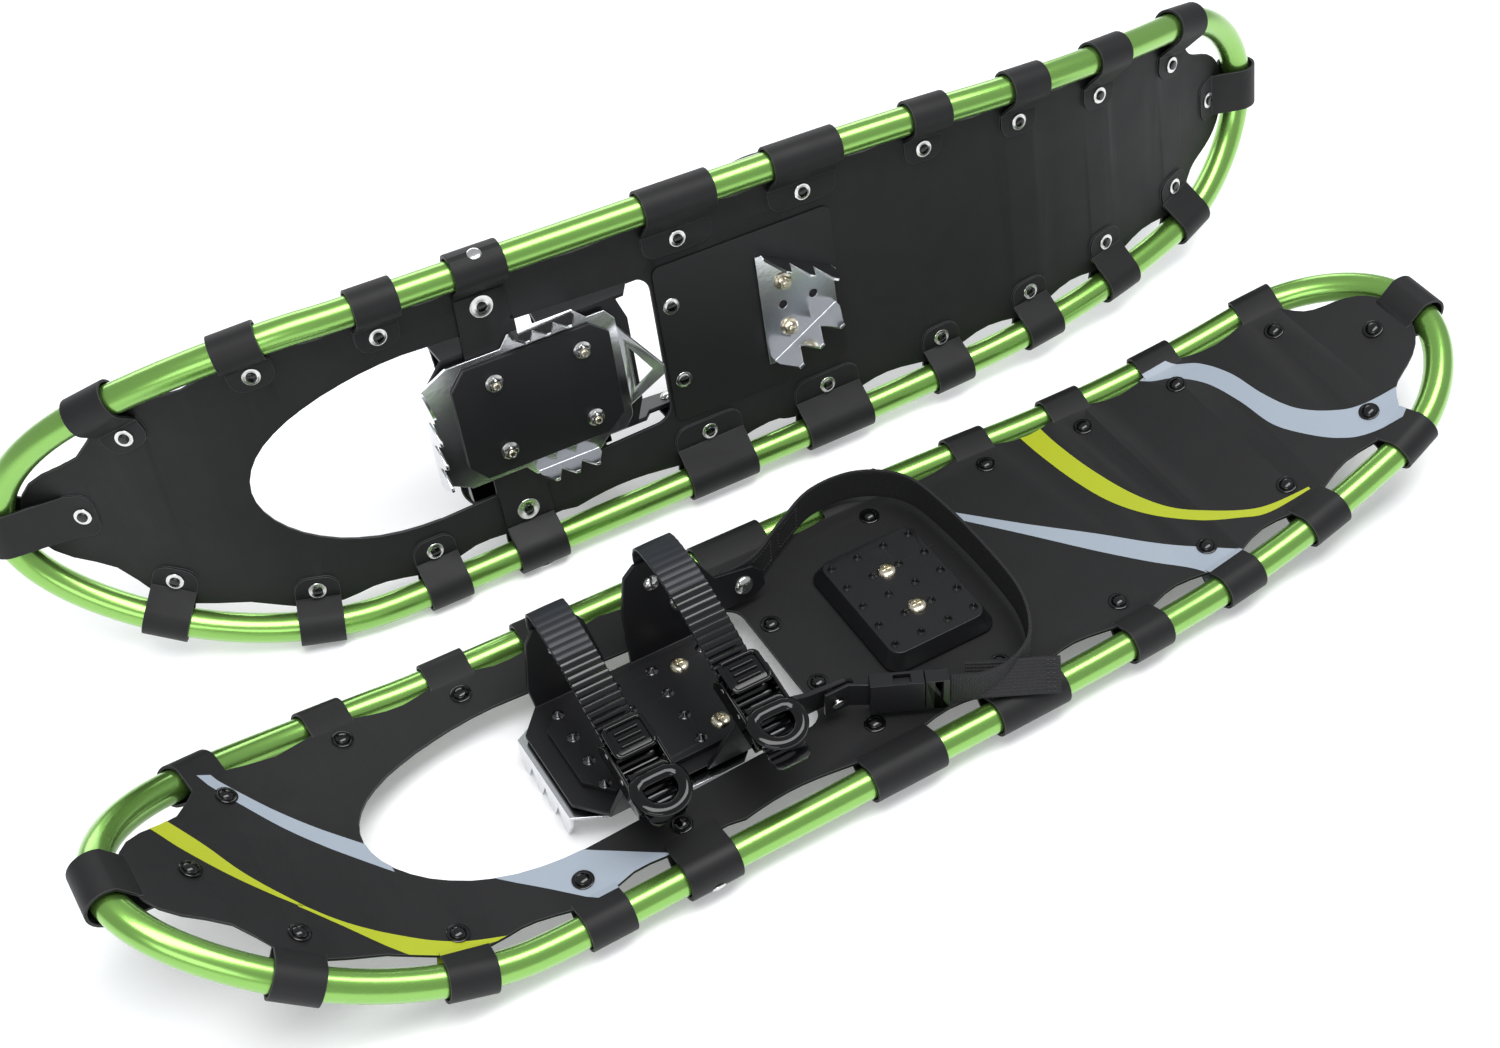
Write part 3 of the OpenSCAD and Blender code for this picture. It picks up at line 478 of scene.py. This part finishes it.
def stripe_prism(stripe):
    """An upright prism over one stripe, to cut it out of the deck's surface"""
    line = [p for p in spline(stripe[0], 12) + spline(stripe[1], 12)[::-1]
            if abs(p.y) < half_width(p.x) - SHEET_EDGE]
    n = len(line)
    shape = Shape()
    faces = [list(range(n))[::-1], [n + k for k in range(n)]]
    faces += [[k, (k + 1) % n, n + (k + 1) % n, n + k] for k in range(n)]
    shape.add([(p.x, p.y, z) for z in (-40, 140) for p in line], faces)
    return shape


def cut_by(mesh, cutter):
    """Mesh of what two closed meshes have in common"""
    one = bpy.data.objects.new("cut", mesh)
    two = bpy.data.objects.new("cutter", cutter)
    for thing in (one, two):
        bpy.context.scene.collection.objects.link(thing)
    common = one.modifiers.new("common", "BOOLEAN")
    common.operation, common.solver, common.object = "INTERSECT", "EXACT", two
    bpy.context.view_layer.update()
    result = bpy.data.meshes.new_from_object(one.evaluated_get(bpy.context.evaluated_depsgraph_get()))
    bpy.data.objects.remove(one)
    bpy.data.objects.remove(two)
    return result


def printed(side, name, stripes, material):
    """Stripes that lie on the deck's top and end at its edges"""
    up = (PLACE[side].to_3x3() @ Vector((0, 0, 1))).normalized()
    work = welded(f"{side}_deck")
    bmesh.ops.translate(work, verts=work.verts, vec=up * PRINT_LIFT * MM)
    lifted = bpy.data.meshes.new(name)
    work.to_mesh(lifted)
    work.clear()
    for stripe in stripes:
        work.from_mesh(cut_by(lifted, mesh_of(side, name + "_cutter", stripe_prism(stripe))))
    hidden = [f for f in work.faces if f.normal.dot(up) < 0.4]
    bmesh.ops.delete(work, geom=hidden, context="FACES")
    print_mesh = bpy.data.meshes.new(name)
    work.to_mesh(print_mesh)
    work.free()
    stand_in(side, name, print_mesh, [material], ["deck"], body=side + "_frame")


def deck(side):
    refined(side, "deck", [DECK, DECK_EDGE], 0.25, edge_slot=1)
    refined(side, "deck_doubler", [LEAF], 0.25)
    printed(side, "deck_print_lime", [LIME_TOE_FRONT, LIME_TOE_REAR, LIME_TAIL], LIME)
    printed(side, "deck_print_grey", [GREY_TOE, GREY_PATCH, GREY_WAVE, GREY_LONG], GREY)


# ---------------------------------------------------------------- rivets, washers, bolts and nuts


class Part:
    """One separate solid of a CAD node, measured along its own axis, in its shoe's millimetres"""

    def __init__(self, points, up):
        self.middle = Vector(points.mean(0))
        spread, axes = np.linalg.eigh(np.cov((points - points.mean(0)).T))
        odd = 0 if spread[1] - spread[0] > spread[2] - spread[1] else 2
        self.axis = Vector(axes[:, odd])
        if self.axis.dot(Vector(up)) < 0:
            self.axis.negate()
        offsets = points - points.mean(0)
        self.heights = offsets @ np.array(self.axis)
        self.radii = np.linalg.norm(offsets - np.outer(self.heights, np.array(self.axis)), axis=1)
        self.low, self.high = float(self.heights.min()), float(self.heights.max())
        self.radius = float(self.radii.max())

    def radius_near(self, height, reach=2.0):
        near = np.abs(self.heights - height) < reach
        return float(self.radii[near].max())


def parts_of(side, node, up=(0, 0, 1)):
    """The separate solids of a CAD node"""
    work = bmesh.new()
    work.from_mesh(frame["nodes"][f"{side}_{node}"].data)
    bmesh.ops.remove_doubles(work, verts=work.verts, dist=0.01 * MM)
    to_shoe = PLACE[side].inverted()
    seen, found = set(), []
    for start in work.verts:
        if start.index in seen:
            continue
        seen.add(start.index)
        island, front = [], [start]
        while front:
            vert = front.pop()
            island.append(to_shoe @ vert.co)
            for edge in vert.link_edges:
                other = edge.other_vert(vert)
                if other.index not in seen:
                    seen.add(other.index)
                    front.append(other)
        found.append(Part(np.array([tuple(p) for p in island]), up))
    work.free()
    return found


def dome(radius, base, height, steps=6):
    """Profile of a dome, from its rim to its middle"""
    return [[radius * math.cos(math.pi / 2 * i / steps), base + height * math.sin(math.pi / 2 * i / steps)]
            for i in range(steps + 1)]


def domed_rivet(shape, part, slot=0):
    """A flat ring round a dome above, a spread foot below"""
    r, top, foot = part.radius, part.high, part.low
    base = top - 2.4
    profile = [[0, foot], [2.7, foot], [3.2, foot + 0.3], [3.3, foot + 1.0], [2.3, foot + 1.2], [2.3, base]]
    profile += [[r - 0.3, base], [r, base + 0.25], [r, base + 0.55], [r - 0.35, base + 0.8],
                [r - 1.3, base + 0.85], [r - 1.6, base + 0.7]]
    profile += dome(r - 1.8, base + 0.7, 2.6)
    turned(shape, profile, part.middle, part.axis, 36, slot)


def flat_washer(shape, part, hole=2.6, slot=0):
    """A washer with a rolled inner rim, as an eyelet has"""
    r, low, high = part.radius, part.low, part.high
    profile = [[hole, low + 0.1], [hole + 0.3, low - 0.12], [hole + 0.9, low - 0.2], [hole + 1.3, low],
               [r - 0.2, low], [r, low + 0.2], [r, high - 0.15], [r - 0.15, high], [hole, high]]
    turned(shape, profile, part.middle, part.axis, 36, slot, closed=True)


def pan_rivet(shape, part, slot=0, spread=1.0):
    """A rivet with a low dome at each end"""
    low_r, high_r = part.radius_near(part.low, 1.3), part.radius_near(part.high, 2.0) * spread
    profile = [[0, part.low]] + [[low_r * s, part.low + 1.1 * (1 - math.sqrt(1 - s * s))]
                                 for s in (0.4, 0.7, 0.9, 0.98)]
    profile += [[low_r, part.low + 1.2], [2.2, part.low + 1.25], [2.2, part.high - 1.85],
                [high_r, part.high - 1.8], [high_r, part.high - 1.5]]
    profile += dome(high_r * 0.97, part.high - 1.45, 2.6 if high_r > 4.6 else 1.45)
    turned(shape, profile, part.middle, part.axis, 36, slot)


def cross_head(shape, part, head_height=2.8, slot=0):
    """A pan-headed bolt with a cross recess and a threaded end"""
    across, up, axis = basis(part.axis)
    r, base = 1.12 * part.radius, part.high - head_height
    rings, sides = [], 64
    steps = [i / 16 for i in range(17)]
    for s in [1.0] + steps[::-1]:
        ring = []
        for k in range(sides):
            a = 2 * math.pi * k / sides
            x, y = r * s * math.cos(a), r * s * math.sin(a)
            height = base + head_height * (1 - s ** 3.2) ** 0.5 if len(rings) else base
            arm, wide = max(abs(x), abs(y)), min(abs(x), abs(y))
            if arm < 0.52 * r and wide < 0.13 * r:
                height -= 1.2
            ring.append(part.middle + across * x + up * y + axis * height)
        rings.append(ring)
    swept(shape, rings, slot=slot)
    shank = [[0, part.low], [1.6, part.low], [2.0, part.low + 0.4]]
    turns = 12
    for i in range(turns):
        shank += [[2.35, part.low + 0.6 + 0.7 * i], [2.1, part.low + 0.95 + 0.7 * i]]
    shank += [[2.3, part.low + 0.7 * turns + 0.8], [2.3, base + 0.1], [0, base + 0.1]]
    turned(shape, shank, part.middle, part.axis, 24, slot)


def flanged_nut(shape, part, slot=0):
    """A chamfered hexagon under its flange"""
    hexagon_r, high, low = 4.6, part.high, part.low
    profile = [[2.4, low + 0.5], [2.9, low], [3.7, low], [4.6, low + 0.8]]
    across, up, axis = basis(part.axis)
    rings = []
    sides = 48
    for radius, height in profile + [[4.6, high - 1.4], [5.9, high - 1.0], [6.0, high - 0.2], [5.8, high],
                                     [2.4, high]]:
        ring = []
        for k in range(sides):
            a = 2 * math.pi * k / sides
            turn = (a % (math.pi / 3)) - math.pi / 6
            reach = hexagon_r * math.cos(math.pi / 6) / math.cos(turn)
            at = min(radius, reach) if height < high - 1.2 else radius
            ring.append(part.middle + at * (math.cos(a) * across + math.sin(a) * up) + axis * height)
        rings.append(ring)
    swept(shape, rings, loop=True, slot=slot)


def fasteners(side, node, build, material, up=(0, 0, 1), choose=None):
    """One piece with every fastener of a CAD node, each made anew in its own place"""
    shape = Shape()
    for part in parts_of(side, node, up):
        (choose(part) if choose else build)(shape, part)
    mesh = mesh_of(side, node, shape)
    stand_in(side, node + "_look", mesh, [material], [node])


def strap_rivets(side):
    """Black domes on the deck; bright washers under it and bright rivets through the wraps"""
    shape = Shape()
    for part in parts_of(side, "strap_rivets"):
        if part.high - part.low < 1.5:
            flat_washer(shape, part)
        elif part.radius > 6:
            domed_rivet(shape, part, slot=1)
        else:
            pan_rivet(shape, part)
    mesh = mesh_of(side, "strap_rivets", shape)
    stand_in(side, "strap_rivets_look", mesh, [STEEL, RIVET], ["strap_rivets"])


def bolt_or_nut(part):
    return flanged_nut if part.high - part.low < 6 else cross_head


def hardware(side):
    fasteners(side, "deck_rivets", domed_rivet, RIVET)
    fasteners(side, "rivet_washers", flat_washer, STEEL)
    strap_rivets(side)
    fasteners(side, "heel_bolts", None, BRASSY, choose=bolt_or_nut)
    fasteners(side, "binding_bolts", cross_head, BRASSY)
    fasteners(side, "binding_nuts", flanged_nut, STEEL)
    harness_rivets(side)
    for buckle in ("toe", "instep"):
        refined(side, f"{buckle}_buckle_pins", [STEEL], 0.2)


def harness_rivets(side):
    """Heads towards the foot on the wings, towards the sole on the flanges"""
    shape = Shape()
    for part in parts_of(side, "harness_rivets"):
        if abs(part.axis.z) < 0.7 and part.axis.y * part.middle.y > 0:
            part.axis.negate()
            part.low, part.high = -part.high, -part.low
            part.heights = -part.heights
        pan_rivet(shape, part, spread=1.25 if part.middle.y > 0 else 1.0)
    mesh = mesh_of(side, "harness_rivets", shape)
    stand_in(side, "harness_rivets_look", mesh, [STEEL], ["harness_rivets"])


# ---------------------------------------------------------------- plates, pads and claws


def pad_slit_shade():
    """A near-black strip of painted shade along the moulding slit, from a bolt to the pad's rear edge"""
    shape = Shape()
    path = [Vector((56, 17, 12.2)), Vector((70, 19, 12.2)), Vector((86, 21, 12.2))]
    rings = [[p + Vector((0, w, h)) for w, h in ((-0.35, -0.3), (0.35, -0.3), (0.35, 0.06), (-0.35, 0.06))]
             for p in path]
    swept(shape, rings)
    return shape


STUD_ROWS = {
    "toe_plate": ("binding", 4.5, [(x, y) for x in (-171, -133, -108, -74) for y in (-30, -10, 10, 30)]),
    "heel_pad": ("frame", 11.9, [(x, y) for x in (22, 40.5, 59.5, 78) for y in (-36, -18, 0, 18, 36)]),
}


def studs(side):
    """Bright cones with a rolled foot, over the plain ones of the plates"""
    for node, (body, base, places) in STUD_ROWS.items():
        shape = Shape()
        for x, y in places:
            wide = 1.0 if node == "toe_plate" else 0.72
            profile = [[0, 0], [3.7, 0], [3.8, 0.5], [3.5, 0.8], [3.1, 0.95], [2.4, 1.7], [1.6, 2.9],
                       [1.1, 3.7], [0.7, 3.95], [0, 4.0]]
            turned(shape, [[wide * r, h] for r, h in profile], (x, y, base), sides=24)
        mesh = mesh_of(side, node + "_studs", shape)
        finish = STUD if node == "toe_plate" else STUD_BLACK
        stand_in(side, node + "_studs", mesh, [finish], [node], body=f"{side}_{body}")


def plates(side):
    studs(side)
    refined(side, "heel_pad", [MOULDED], 0.5)
    # a near-black strip of painted shade along the pad's slit
    slit_shade = mesh_of(side, "pad_slit_shade", pad_slit_shade())
    stand_in(side, "heel_pad_slit_shade", slit_shade, [SLIT_SHADE], ["heel_pad"], body=side + "_frame")
    refined(side, "heel_crampon", [CLAW], 0.3)
    refined(side, "toe_crampon", [CLAW], 0.35)
    refined(side, "under_plate", [SHEET], 0.5)
    refined(side, "toe_plate", [MOULDED], 0.4)
    refined(side, "harness", [SHEET], 0.5)


def pivot_strap(side):
    """Two halves cut apart at the shoe's middle, each wrapping its rail and carrying the binding, fixed in
    the row's frame
    """
    place = PLACE[side]
    for name, way in (("near", -1), ("far", 1)):
        work = welded(f"{side}_pivot_strap")
        inwards = place.to_3x3() @ Vector((0, -way, 0))
        geometry = work.verts[:] + work.edges[:] + work.faces[:]
        cut = bmesh.ops.bisect_plane(work, geom=geometry, dist=1e-6, plane_co=place @ Vector((0, 0, 0)),
                                     plane_no=inwards.normalized(), clear_outer=True)
        rim = [item for item in cut["geom_cut"] if isinstance(item, bmesh.types.BMEdge)]
        bmesh.ops.holes_fill(work, edges=rim)
        bmesh.ops.recalc_face_normals(work, faces=work.faces)
        mesh = bpy.data.meshes.new("pivot_strap")
        work.to_mesh(mesh)
        work.free()
        mesh.materials.append(RUBBER)
        shade(mesh)
        piece = bpy.data.objects.new(f"{side}_pivot_strap_{name}", mesh)
        bpy.context.scene.collection.objects.link(piece)
        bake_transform(piece)
        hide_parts(side + "_pivot_strap")
        soften(piece, 0.4)


# ---------------------------------------------------------------- ladder straps

LADDER_W, LADDER_T, LADDER_PITCH = 24, 2.2, 5
TOE_LADDER = [[56.5, 26], [61, 44], [63.5, 55], [57, 64], [30, 60], [0, 52], [-26, 42.5], [-44, 35.4],
              [-88, 26.1]]
INSTEP_LADDER = [[59.5, 38], [64, 56], [66, 67], [58, 77], [32, 77], [2, 69], [-30, 56.4], [-48, 48.9],
                 [-99, 38.1]]


def ladder_ring(p, normal, x, narrow, groove):
    """Section of a ladder strap: flat below, ribbed above from edge to edge"""
    half, t = LADDER_W / 2 * narrow, LADDER_T / 2
    top, edge = t - groove, half - 0.35 * groove
    section = [[-half + 0.6, -t], [half - 0.6, -t], [half, -t + 0.5], [edge, top - 0.5], [edge - 0.5, top],
               [0, top + 0.15], [-edge + 0.5, top], [-edge, top - 0.5], [-half, -t + 0.5]]
    return [Vector((x + a, p.x, p.y)) + h * normal for a, h in section]


def ladder_strap(side, name, line, x):
    path = spline(line, 8)
    total = length_of(path)
    stops, grooves = [0.0, 0.6, 1.6, 3.0], [0.0, 0.0, 0.0, 0.0]
    s = 4.5
    while s + LADDER_PITCH < total - 6:
        deep = 0.3 + 1.0 * min(1, max(0, (s / total - 0.25) / 0.35))
        stops += [s + share * LADDER_PITCH for share in (0, 0.2, 0.42, 0.6, 0.7)]
        grooves += [0.0, 0.12 * deep, 0.5 * deep, deep, 0.75 * deep]
        s += LADDER_PITCH
    stops += [total - 4, total - 2, total - 0.8, total - 0.05]
    grooves += [0.0] * 4
    rings = []
    centres = walk(path, stops)
    for i, (p, s) in enumerate(zip(centres, stops)):
        along = (centres[min(i + 1, len(centres) - 1)] - centres[max(i - 1, 0)]).normalized()
        normal = Vector((0, along.y, -along.x))
        near_end = min(s, total - s)
        narrow = 1 if near_end > 7 else 0.62 + 0.38 * math.sqrt(1 - (1 - near_end / 7) ** 2)
        rings.append(ladder_ring(p, normal, x, narrow, grooves[i]))
    shape = Shape()
    swept(shape, rings)
    far_part = 0.4
    for i, face in enumerate(shape.faces):
        reached = face[0] // len(rings[0]) / len(rings)
        shape.slots[i] = 0 if reached < far_part else 1
    mesh = mesh_of(side, name, shape)
    stand_in(side, name + "_look", mesh, [LADDER, LADDER_GLOSS], [name], sharp=math.radians(28))


# ---------------------------------------------------------------- heel strap

HEEL_LINE = [[-44, 57.6], [-30, 57.6], [-16, 61], [10, 76], [40, 90], [72, 88], [96, 68], [103, 32],
             [104, -20], [100, -55], [86, -82], [66, -93], [46, -93], [28.6, -84.8]]
WEB_T, WEB_LOW, WEB_HIGH = 2.4, 5.4, 28
TAIL_AT = Vector((37, -88.8, 6.2))
TAIL_LINE = [[0, 0], [15, -1.5], [31, 0], [45, 1.5], [56, 0.5]]
TAIL_TURN = {"left": math.radians(-29), "right": math.radians(-11)}


def web_section(width):
    """Webbing seen end on: a little thicker at its woven edges"""
    t = WEB_T / 2
    return [[-t * 0.75, 0.15], [0, 0], [t * 0.75, 0.15], [t, 0.9], [t * 0.9, 2.6], [t * 0.92, width / 2],
            [t * 0.9, width - 2.6], [t, width - 0.9], [t * 0.75, width - 0.15], [0, width],
            [-t * 0.75, width - 0.15], [-t, width - 0.9], [-t * 0.9, width - 2.6], [-t * 0.92, width / 2],
            [-t * 0.9, 2.6], [-t, 0.9]]


def web_run(shape, line, width, put):
    """A length of webbing along a flat line; put() takes line x, line y and height to the shoe"""
    path = spline(line, 10)
    section = web_section(width)
    rings, first, run = [], len(shape.points), 0.0
    for i, p in enumerate(path):
        along = (path[min(i + 1, len(path) - 1)] - path[max(i - 1, 0)]).normalized()
        normal = Vector((-along.y, along.x))
        rings.append([put(p.x + off * normal.x, p.y + off * normal.y, height) for off, height in section])
    swept(shape, rings)
    for i in range(len(path)):
        run += (path[i] - path[i - 1]).length if i else 0
        for k, (off, height) in enumerate(section):
            shape.uvs[first + i * len(section) + k] = (run, height)


def stitch_row(shape, line, stops, height, face, put, slot=1):
    """Short threads along a line of webbing, on one of its faces"""
    path = spline(line, 10)
    for s in stops:
        ends = walk(path, [s, s + 0.9, s + 1.8])
        along = (ends[2] - ends[0]).normalized()
        normal = Vector((-along.y, along.x)) * face * (WEB_T / 2 * 0.93)
        bow = [0.0, 0.22, 0.0]
        thread = [put(p.x + normal.x * (1 + b), p.y + normal.y * (1 + b), height) for p, b in zip(ends, bow)]
        tube_along(shape, thread, 0.32, 6, slot)


def upright(x, y, height):
    return Vector((x, y, WEB_LOW + height))


def heel_strap(side):
    shape = Shape()
    turn = Matrix.Rotation(TAIL_TURN[side], 3, "Z") @ Matrix.Rotation(math.radians(-38), 3, "X")

    def leaning(x, y, height):
        return TAIL_AT + turn @ Vector((x, y, height))

    width = WEB_HIGH - WEB_LOW
    web_run(shape, HEEL_LINE, width, upright)
    web_run(shape, TAIL_LINE, width, leaning)
    for start in (20, 52):
        rows = [start + 2.6 * i for i in range(9)]
        for height in (3.2, width - 3.2):
            for face in (1, -1):
                stitch_row(shape, HEEL_LINE, rows, height, face, upright)
        for i in range(7):
            for stop in (start, start + 22):
                for face in (1, -1):
                    stitch_row(shape, HEEL_LINE, [stop], 3.2 + (width - 6.4) * i / 6, face, upright)
    for i in range(8):
        for stop in (48, 51.5):
            for face in (1, -1):
                stitch_row(shape, TAIL_LINE, [stop], 2 + (width - 4) * i / 7, face, leaning)
    mesh = mesh_of(side, "heel_strap", shape)
    follows_plug = (("binding", "heel_plug"), (70, 60, 16), (30, -84, 16))
    stand_in(side, "heel_strap_look", mesh, [WEBBING, THREAD], ["heel_strap"],
             blend=follows_plug)


# ---------------------------------------------------------------- buckles

BUCKLES = {"toe": Vector((-157, -44, 33)), "instep": Vector((-84, -48, 46.5))}
BUCKLE_TURN = Matrix.Rotation(math.radians(12), 3, "X") @ Matrix.Rotation(math.pi, 3, "Z")


def in_buckle(origin, x, y, z):
    return origin + BUCKLE_TURN @ Vector((x, y, z))


def rounded_power(value, power):
    return math.copysign(abs(value) ** power, value)


def ring_lever(side, name, origin):
    """Hub on its pin, a broad neck, and a fat D-shaped ring for the finger"""
    shape = Shape()
    hub = [[1.55, -12.6], [3.5, -12.6], [3.8, -12.3], [3.8, 12.3], [3.5, 12.6], [1.55, 12.6]]
    turned(shape, hub, in_buckle(origin, 0, 14, 9), BUCKLE_TURN @ Vector((1, 0, 0)), 32, closed=True)
    neck = [(12.2, 11.2, 12.1, 1.2), (13.2, 12.6, 12.3, 1.8), (15.5, 14.0, 12.3, 1.6), (19, 15.2, 12.2, 1.6),
            (22.5, 15.5, 12.8, 1.9), (25.2, 15.5, 11.5, 0.9)]
    rings = []
    for y, z, half, thick in neck:
        turns = [2 * math.pi * k / 28 for k in range(28)]
        rings.append([in_buckle(origin, half * rounded_power(math.cos(a), 0.3), y,
                                z + thick * rounded_power(math.sin(a), 0.7)) for a in turns])
    swept(shape, rings)
    bow = [math.radians(a) for a in range(0, 181, 6)]
    path = [(13.6 * math.cos(a), 29.8 + 13.4 * math.sin(a)) for a in bow]
    path += [(-13.4, 26.5), (-11.8, 23.2), (-7.5, 21.4), (0, 21.2), (7.5, 21.4), (11.8, 23.2), (13.4, 26.5)]
    rings = []
    for i, (x, y) in enumerate(path):
        after, before = path[(i + 1) % len(path)], path[i - 1]
        along = Vector((after[0] - before[0], after[1] - before[1], 0)).normalized()
        out = Vector((along.y, -along.x, 0))
        ring = []
        for k in range(16):
            a = 2 * math.pi * k / 16
            p = Vector((x, y, 15.5)) + out * 4.3 * math.cos(a) + Vector((0, 0, 2.3 * math.sin(a)))
            ring.append(in_buckle(origin, *p))
        rings.append(ring)
    swept(shape, rings, loop=True)
    mesh = mesh_of(side, f"{name}_lever", shape)
    stand_in(side, f"{name}_buckle_lever_look", mesh, [GLOSS], [f"{name}_buckle_lever"])


def across_buckle(shape, origin, outline, half):
    """A prism across the buckle from an outline in its length and height"""
    rings = [[in_buckle(origin, x, y, z) for y, z in outline] for x in (-half, half)]
    swept(shape, rings)


def pad_height(y):
    return 15.9 + 1.0 * math.sin(math.pi * (y + 16.5) / 24)


def release_lever(side, name, origin):
    """Hub and pawl below, and a thumb pad above: a bright rim round three ribs"""
    shape = Shape()
    hub = [[1.55, -12.6], [3.1, -12.6], [3.4, -12.3], [3.4, 12.3], [3.1, 12.6], [1.55, 12.6]]
    turned(shape, hub, in_buckle(origin, 0, -4, 9.5), BUCKLE_TURN @ Vector((1, 0, 0)), 32, closed=True)
    across_buckle(shape, origin, [(-7.3, 9.5), (-4.5, 6.8), (-6.5, 4.9), (-8.5, 4.9), (-9, 11)], 12.3)
    across_buckle(shape, origin, [(-7, 12), (-1, 12), (2, 14.8), (-12, 14.8), (-10, 12.6)], 12.3)
    floor_line = [(y, pad_height(y)) for y in range(-15, 4, 3)]
    sunk = [(y, z - 1.7) for y, z in floor_line[::-1]]
    across_buckle(shape, origin, [(y, z - 0.5) for y, z in floor_line] + sunk, 11)
    corners = [(-8.6, -13), (8.6, -13), (8.6, 0.8), (-8.6, 0.8)]
    rim = []
    for (x, y), start in zip(corners, (180, 270, 0, 90)):
        for turn in range(start, start + 91, 15):
            a = math.radians(turn)
            rim.append((x + 3.2 * math.cos(a), y + 3.2 * math.sin(a)))
    tube_along(shape, [in_buckle(origin, x, y, pad_height(y)) for x, y in rim], 1.5, 12, loop=True)
    for y in (-10.6, -6.1, -1.6):
        bar = [in_buckle(origin, x, y, pad_height(y) - 0.1) for x in (-7.2, -6.4, 6.4, 7.2)]
        tube_along(shape, bar, 1.1, 12)
    mesh = mesh_of(side, f"{name}_release", shape)
    stand_in(side, f"{name}_buckle_release_look", mesh, [GLOSS], [f"{name}_buckle_release"])


def buckles(side):
    for name, origin in BUCKLES.items():
        refined(side, f"{name}_buckle_base", [GLOSS], 0.6)
        ring_lever(side, name, origin)
        release_lever(side, name, origin)
    refined(side, "heel_buckle_socket", [MOULDED], 0.6)
    refined(side, "heel_buckle_plug", [MOULDED], 0.5)


# ---------------------------------------------------------------- studio


def floor():
    """A wide pale floor just under the lowest tooth"""
    low = -0.0002
    reach = 30
    mesh = bpy.data.meshes.new("floor")
    mesh.from_pydata([(-reach, -reach, low), (reach, -reach, low), (reach, reach, low), (-reach, reach, low)],
                     [], [(0, 1, 2, 3)])
    finish = surface("pale_floor", linear(246, 246, 247), 0.85, other=linear(243, 243, 245), blotch=3)
    shader = finish.node_tree.nodes["Principled BSDF"]
    shader.inputs["Emission Color"].default_value = (1, 1, 1, 1)
    shader.inputs["Emission Strength"].default_value = 0.2
    mesh.materials.append(finish)
    plane = bpy.data.objects.new("floor", mesh)
    bpy.context.scene.collection.objects.link(plane)


def area_light(name, at, aim, width, depth, watts, tint=(1, 1, 1)):
    data = bpy.data.lights.new(name, "AREA")
    data.shape = "RECTANGLE"
    data.size, data.size_y = width, depth
    data.energy = watts
    data.color = tint
    lamp = bpy.data.objects.new(name, data)
    lamp.location = at
    lamp.rotation_euler = (Vector(aim) - Vector(at)).to_track_quat("-Z", "Y").to_euler()
    bpy.context.scene.collection.objects.link(lamp)


def studio():
    floor()
    world = bpy.data.worlds.new("studio")
    bpy.context.scene.world = world
    world.use_nodes = True
    sky = world.node_tree.nodes["Background"]
    sky.inputs["Color"].default_value = (0.82, 0.84, 0.87, 1)
    sky.inputs["Strength"].default_value = 0.66
    area_light("overhead", (0.1, -0.45, 2.0), (0, 0, 0), 2.4, 0.8, 44)
    area_light("back", (0.3, 2.3, 1.1), (0, 0.1, 0.05), 3.0, 0.8, 24)
    area_light("front", (-1.5, -1.9, 1.0), (0, 0, 0.05), 1.6, 0.9, 12)
    bpy.context.scene.view_settings.view_transform = "Standard"


CAMERA_AT = Vector((-0.4816, -0.8895, 1.0683))
LOOKS_ALONG = Vector((0.3218, 0.6213, -0.7144))
CAMERA_UP = Vector((0.3898, 0.6008, 0.698))


def camera():
    data = bpy.data.cameras.new("camera")
    data.lens = 55
    data.sensor_width = 36
    eye = bpy.data.objects.new("camera", data)
    back = -LOOKS_ALONG.normalized()
    right = CAMERA_UP.cross(back).normalized()
    up = back.cross(right)
    turn = Matrix((right, up, back)).transposed().to_4x4()
    turn.translation = CAMERA_AT
    eye.matrix_world = turn
    bpy.context.scene.collection.objects.link(eye)
    bpy.context.scene.camera = eye


for shoe in SIDES:
    frame_tube(shoe)
    deck(shoe)
    hardware(shoe)
    plates(shoe)
    pivot_strap(shoe)
    ladder_strap(shoe, "toe_ladder", TOE_LADDER, -157)
    ladder_strap(shoe, "instep_ladder", INSTEP_LADDER, -84)
    heel_strap(shoe)
    buckles(shoe)
studio()
camera()
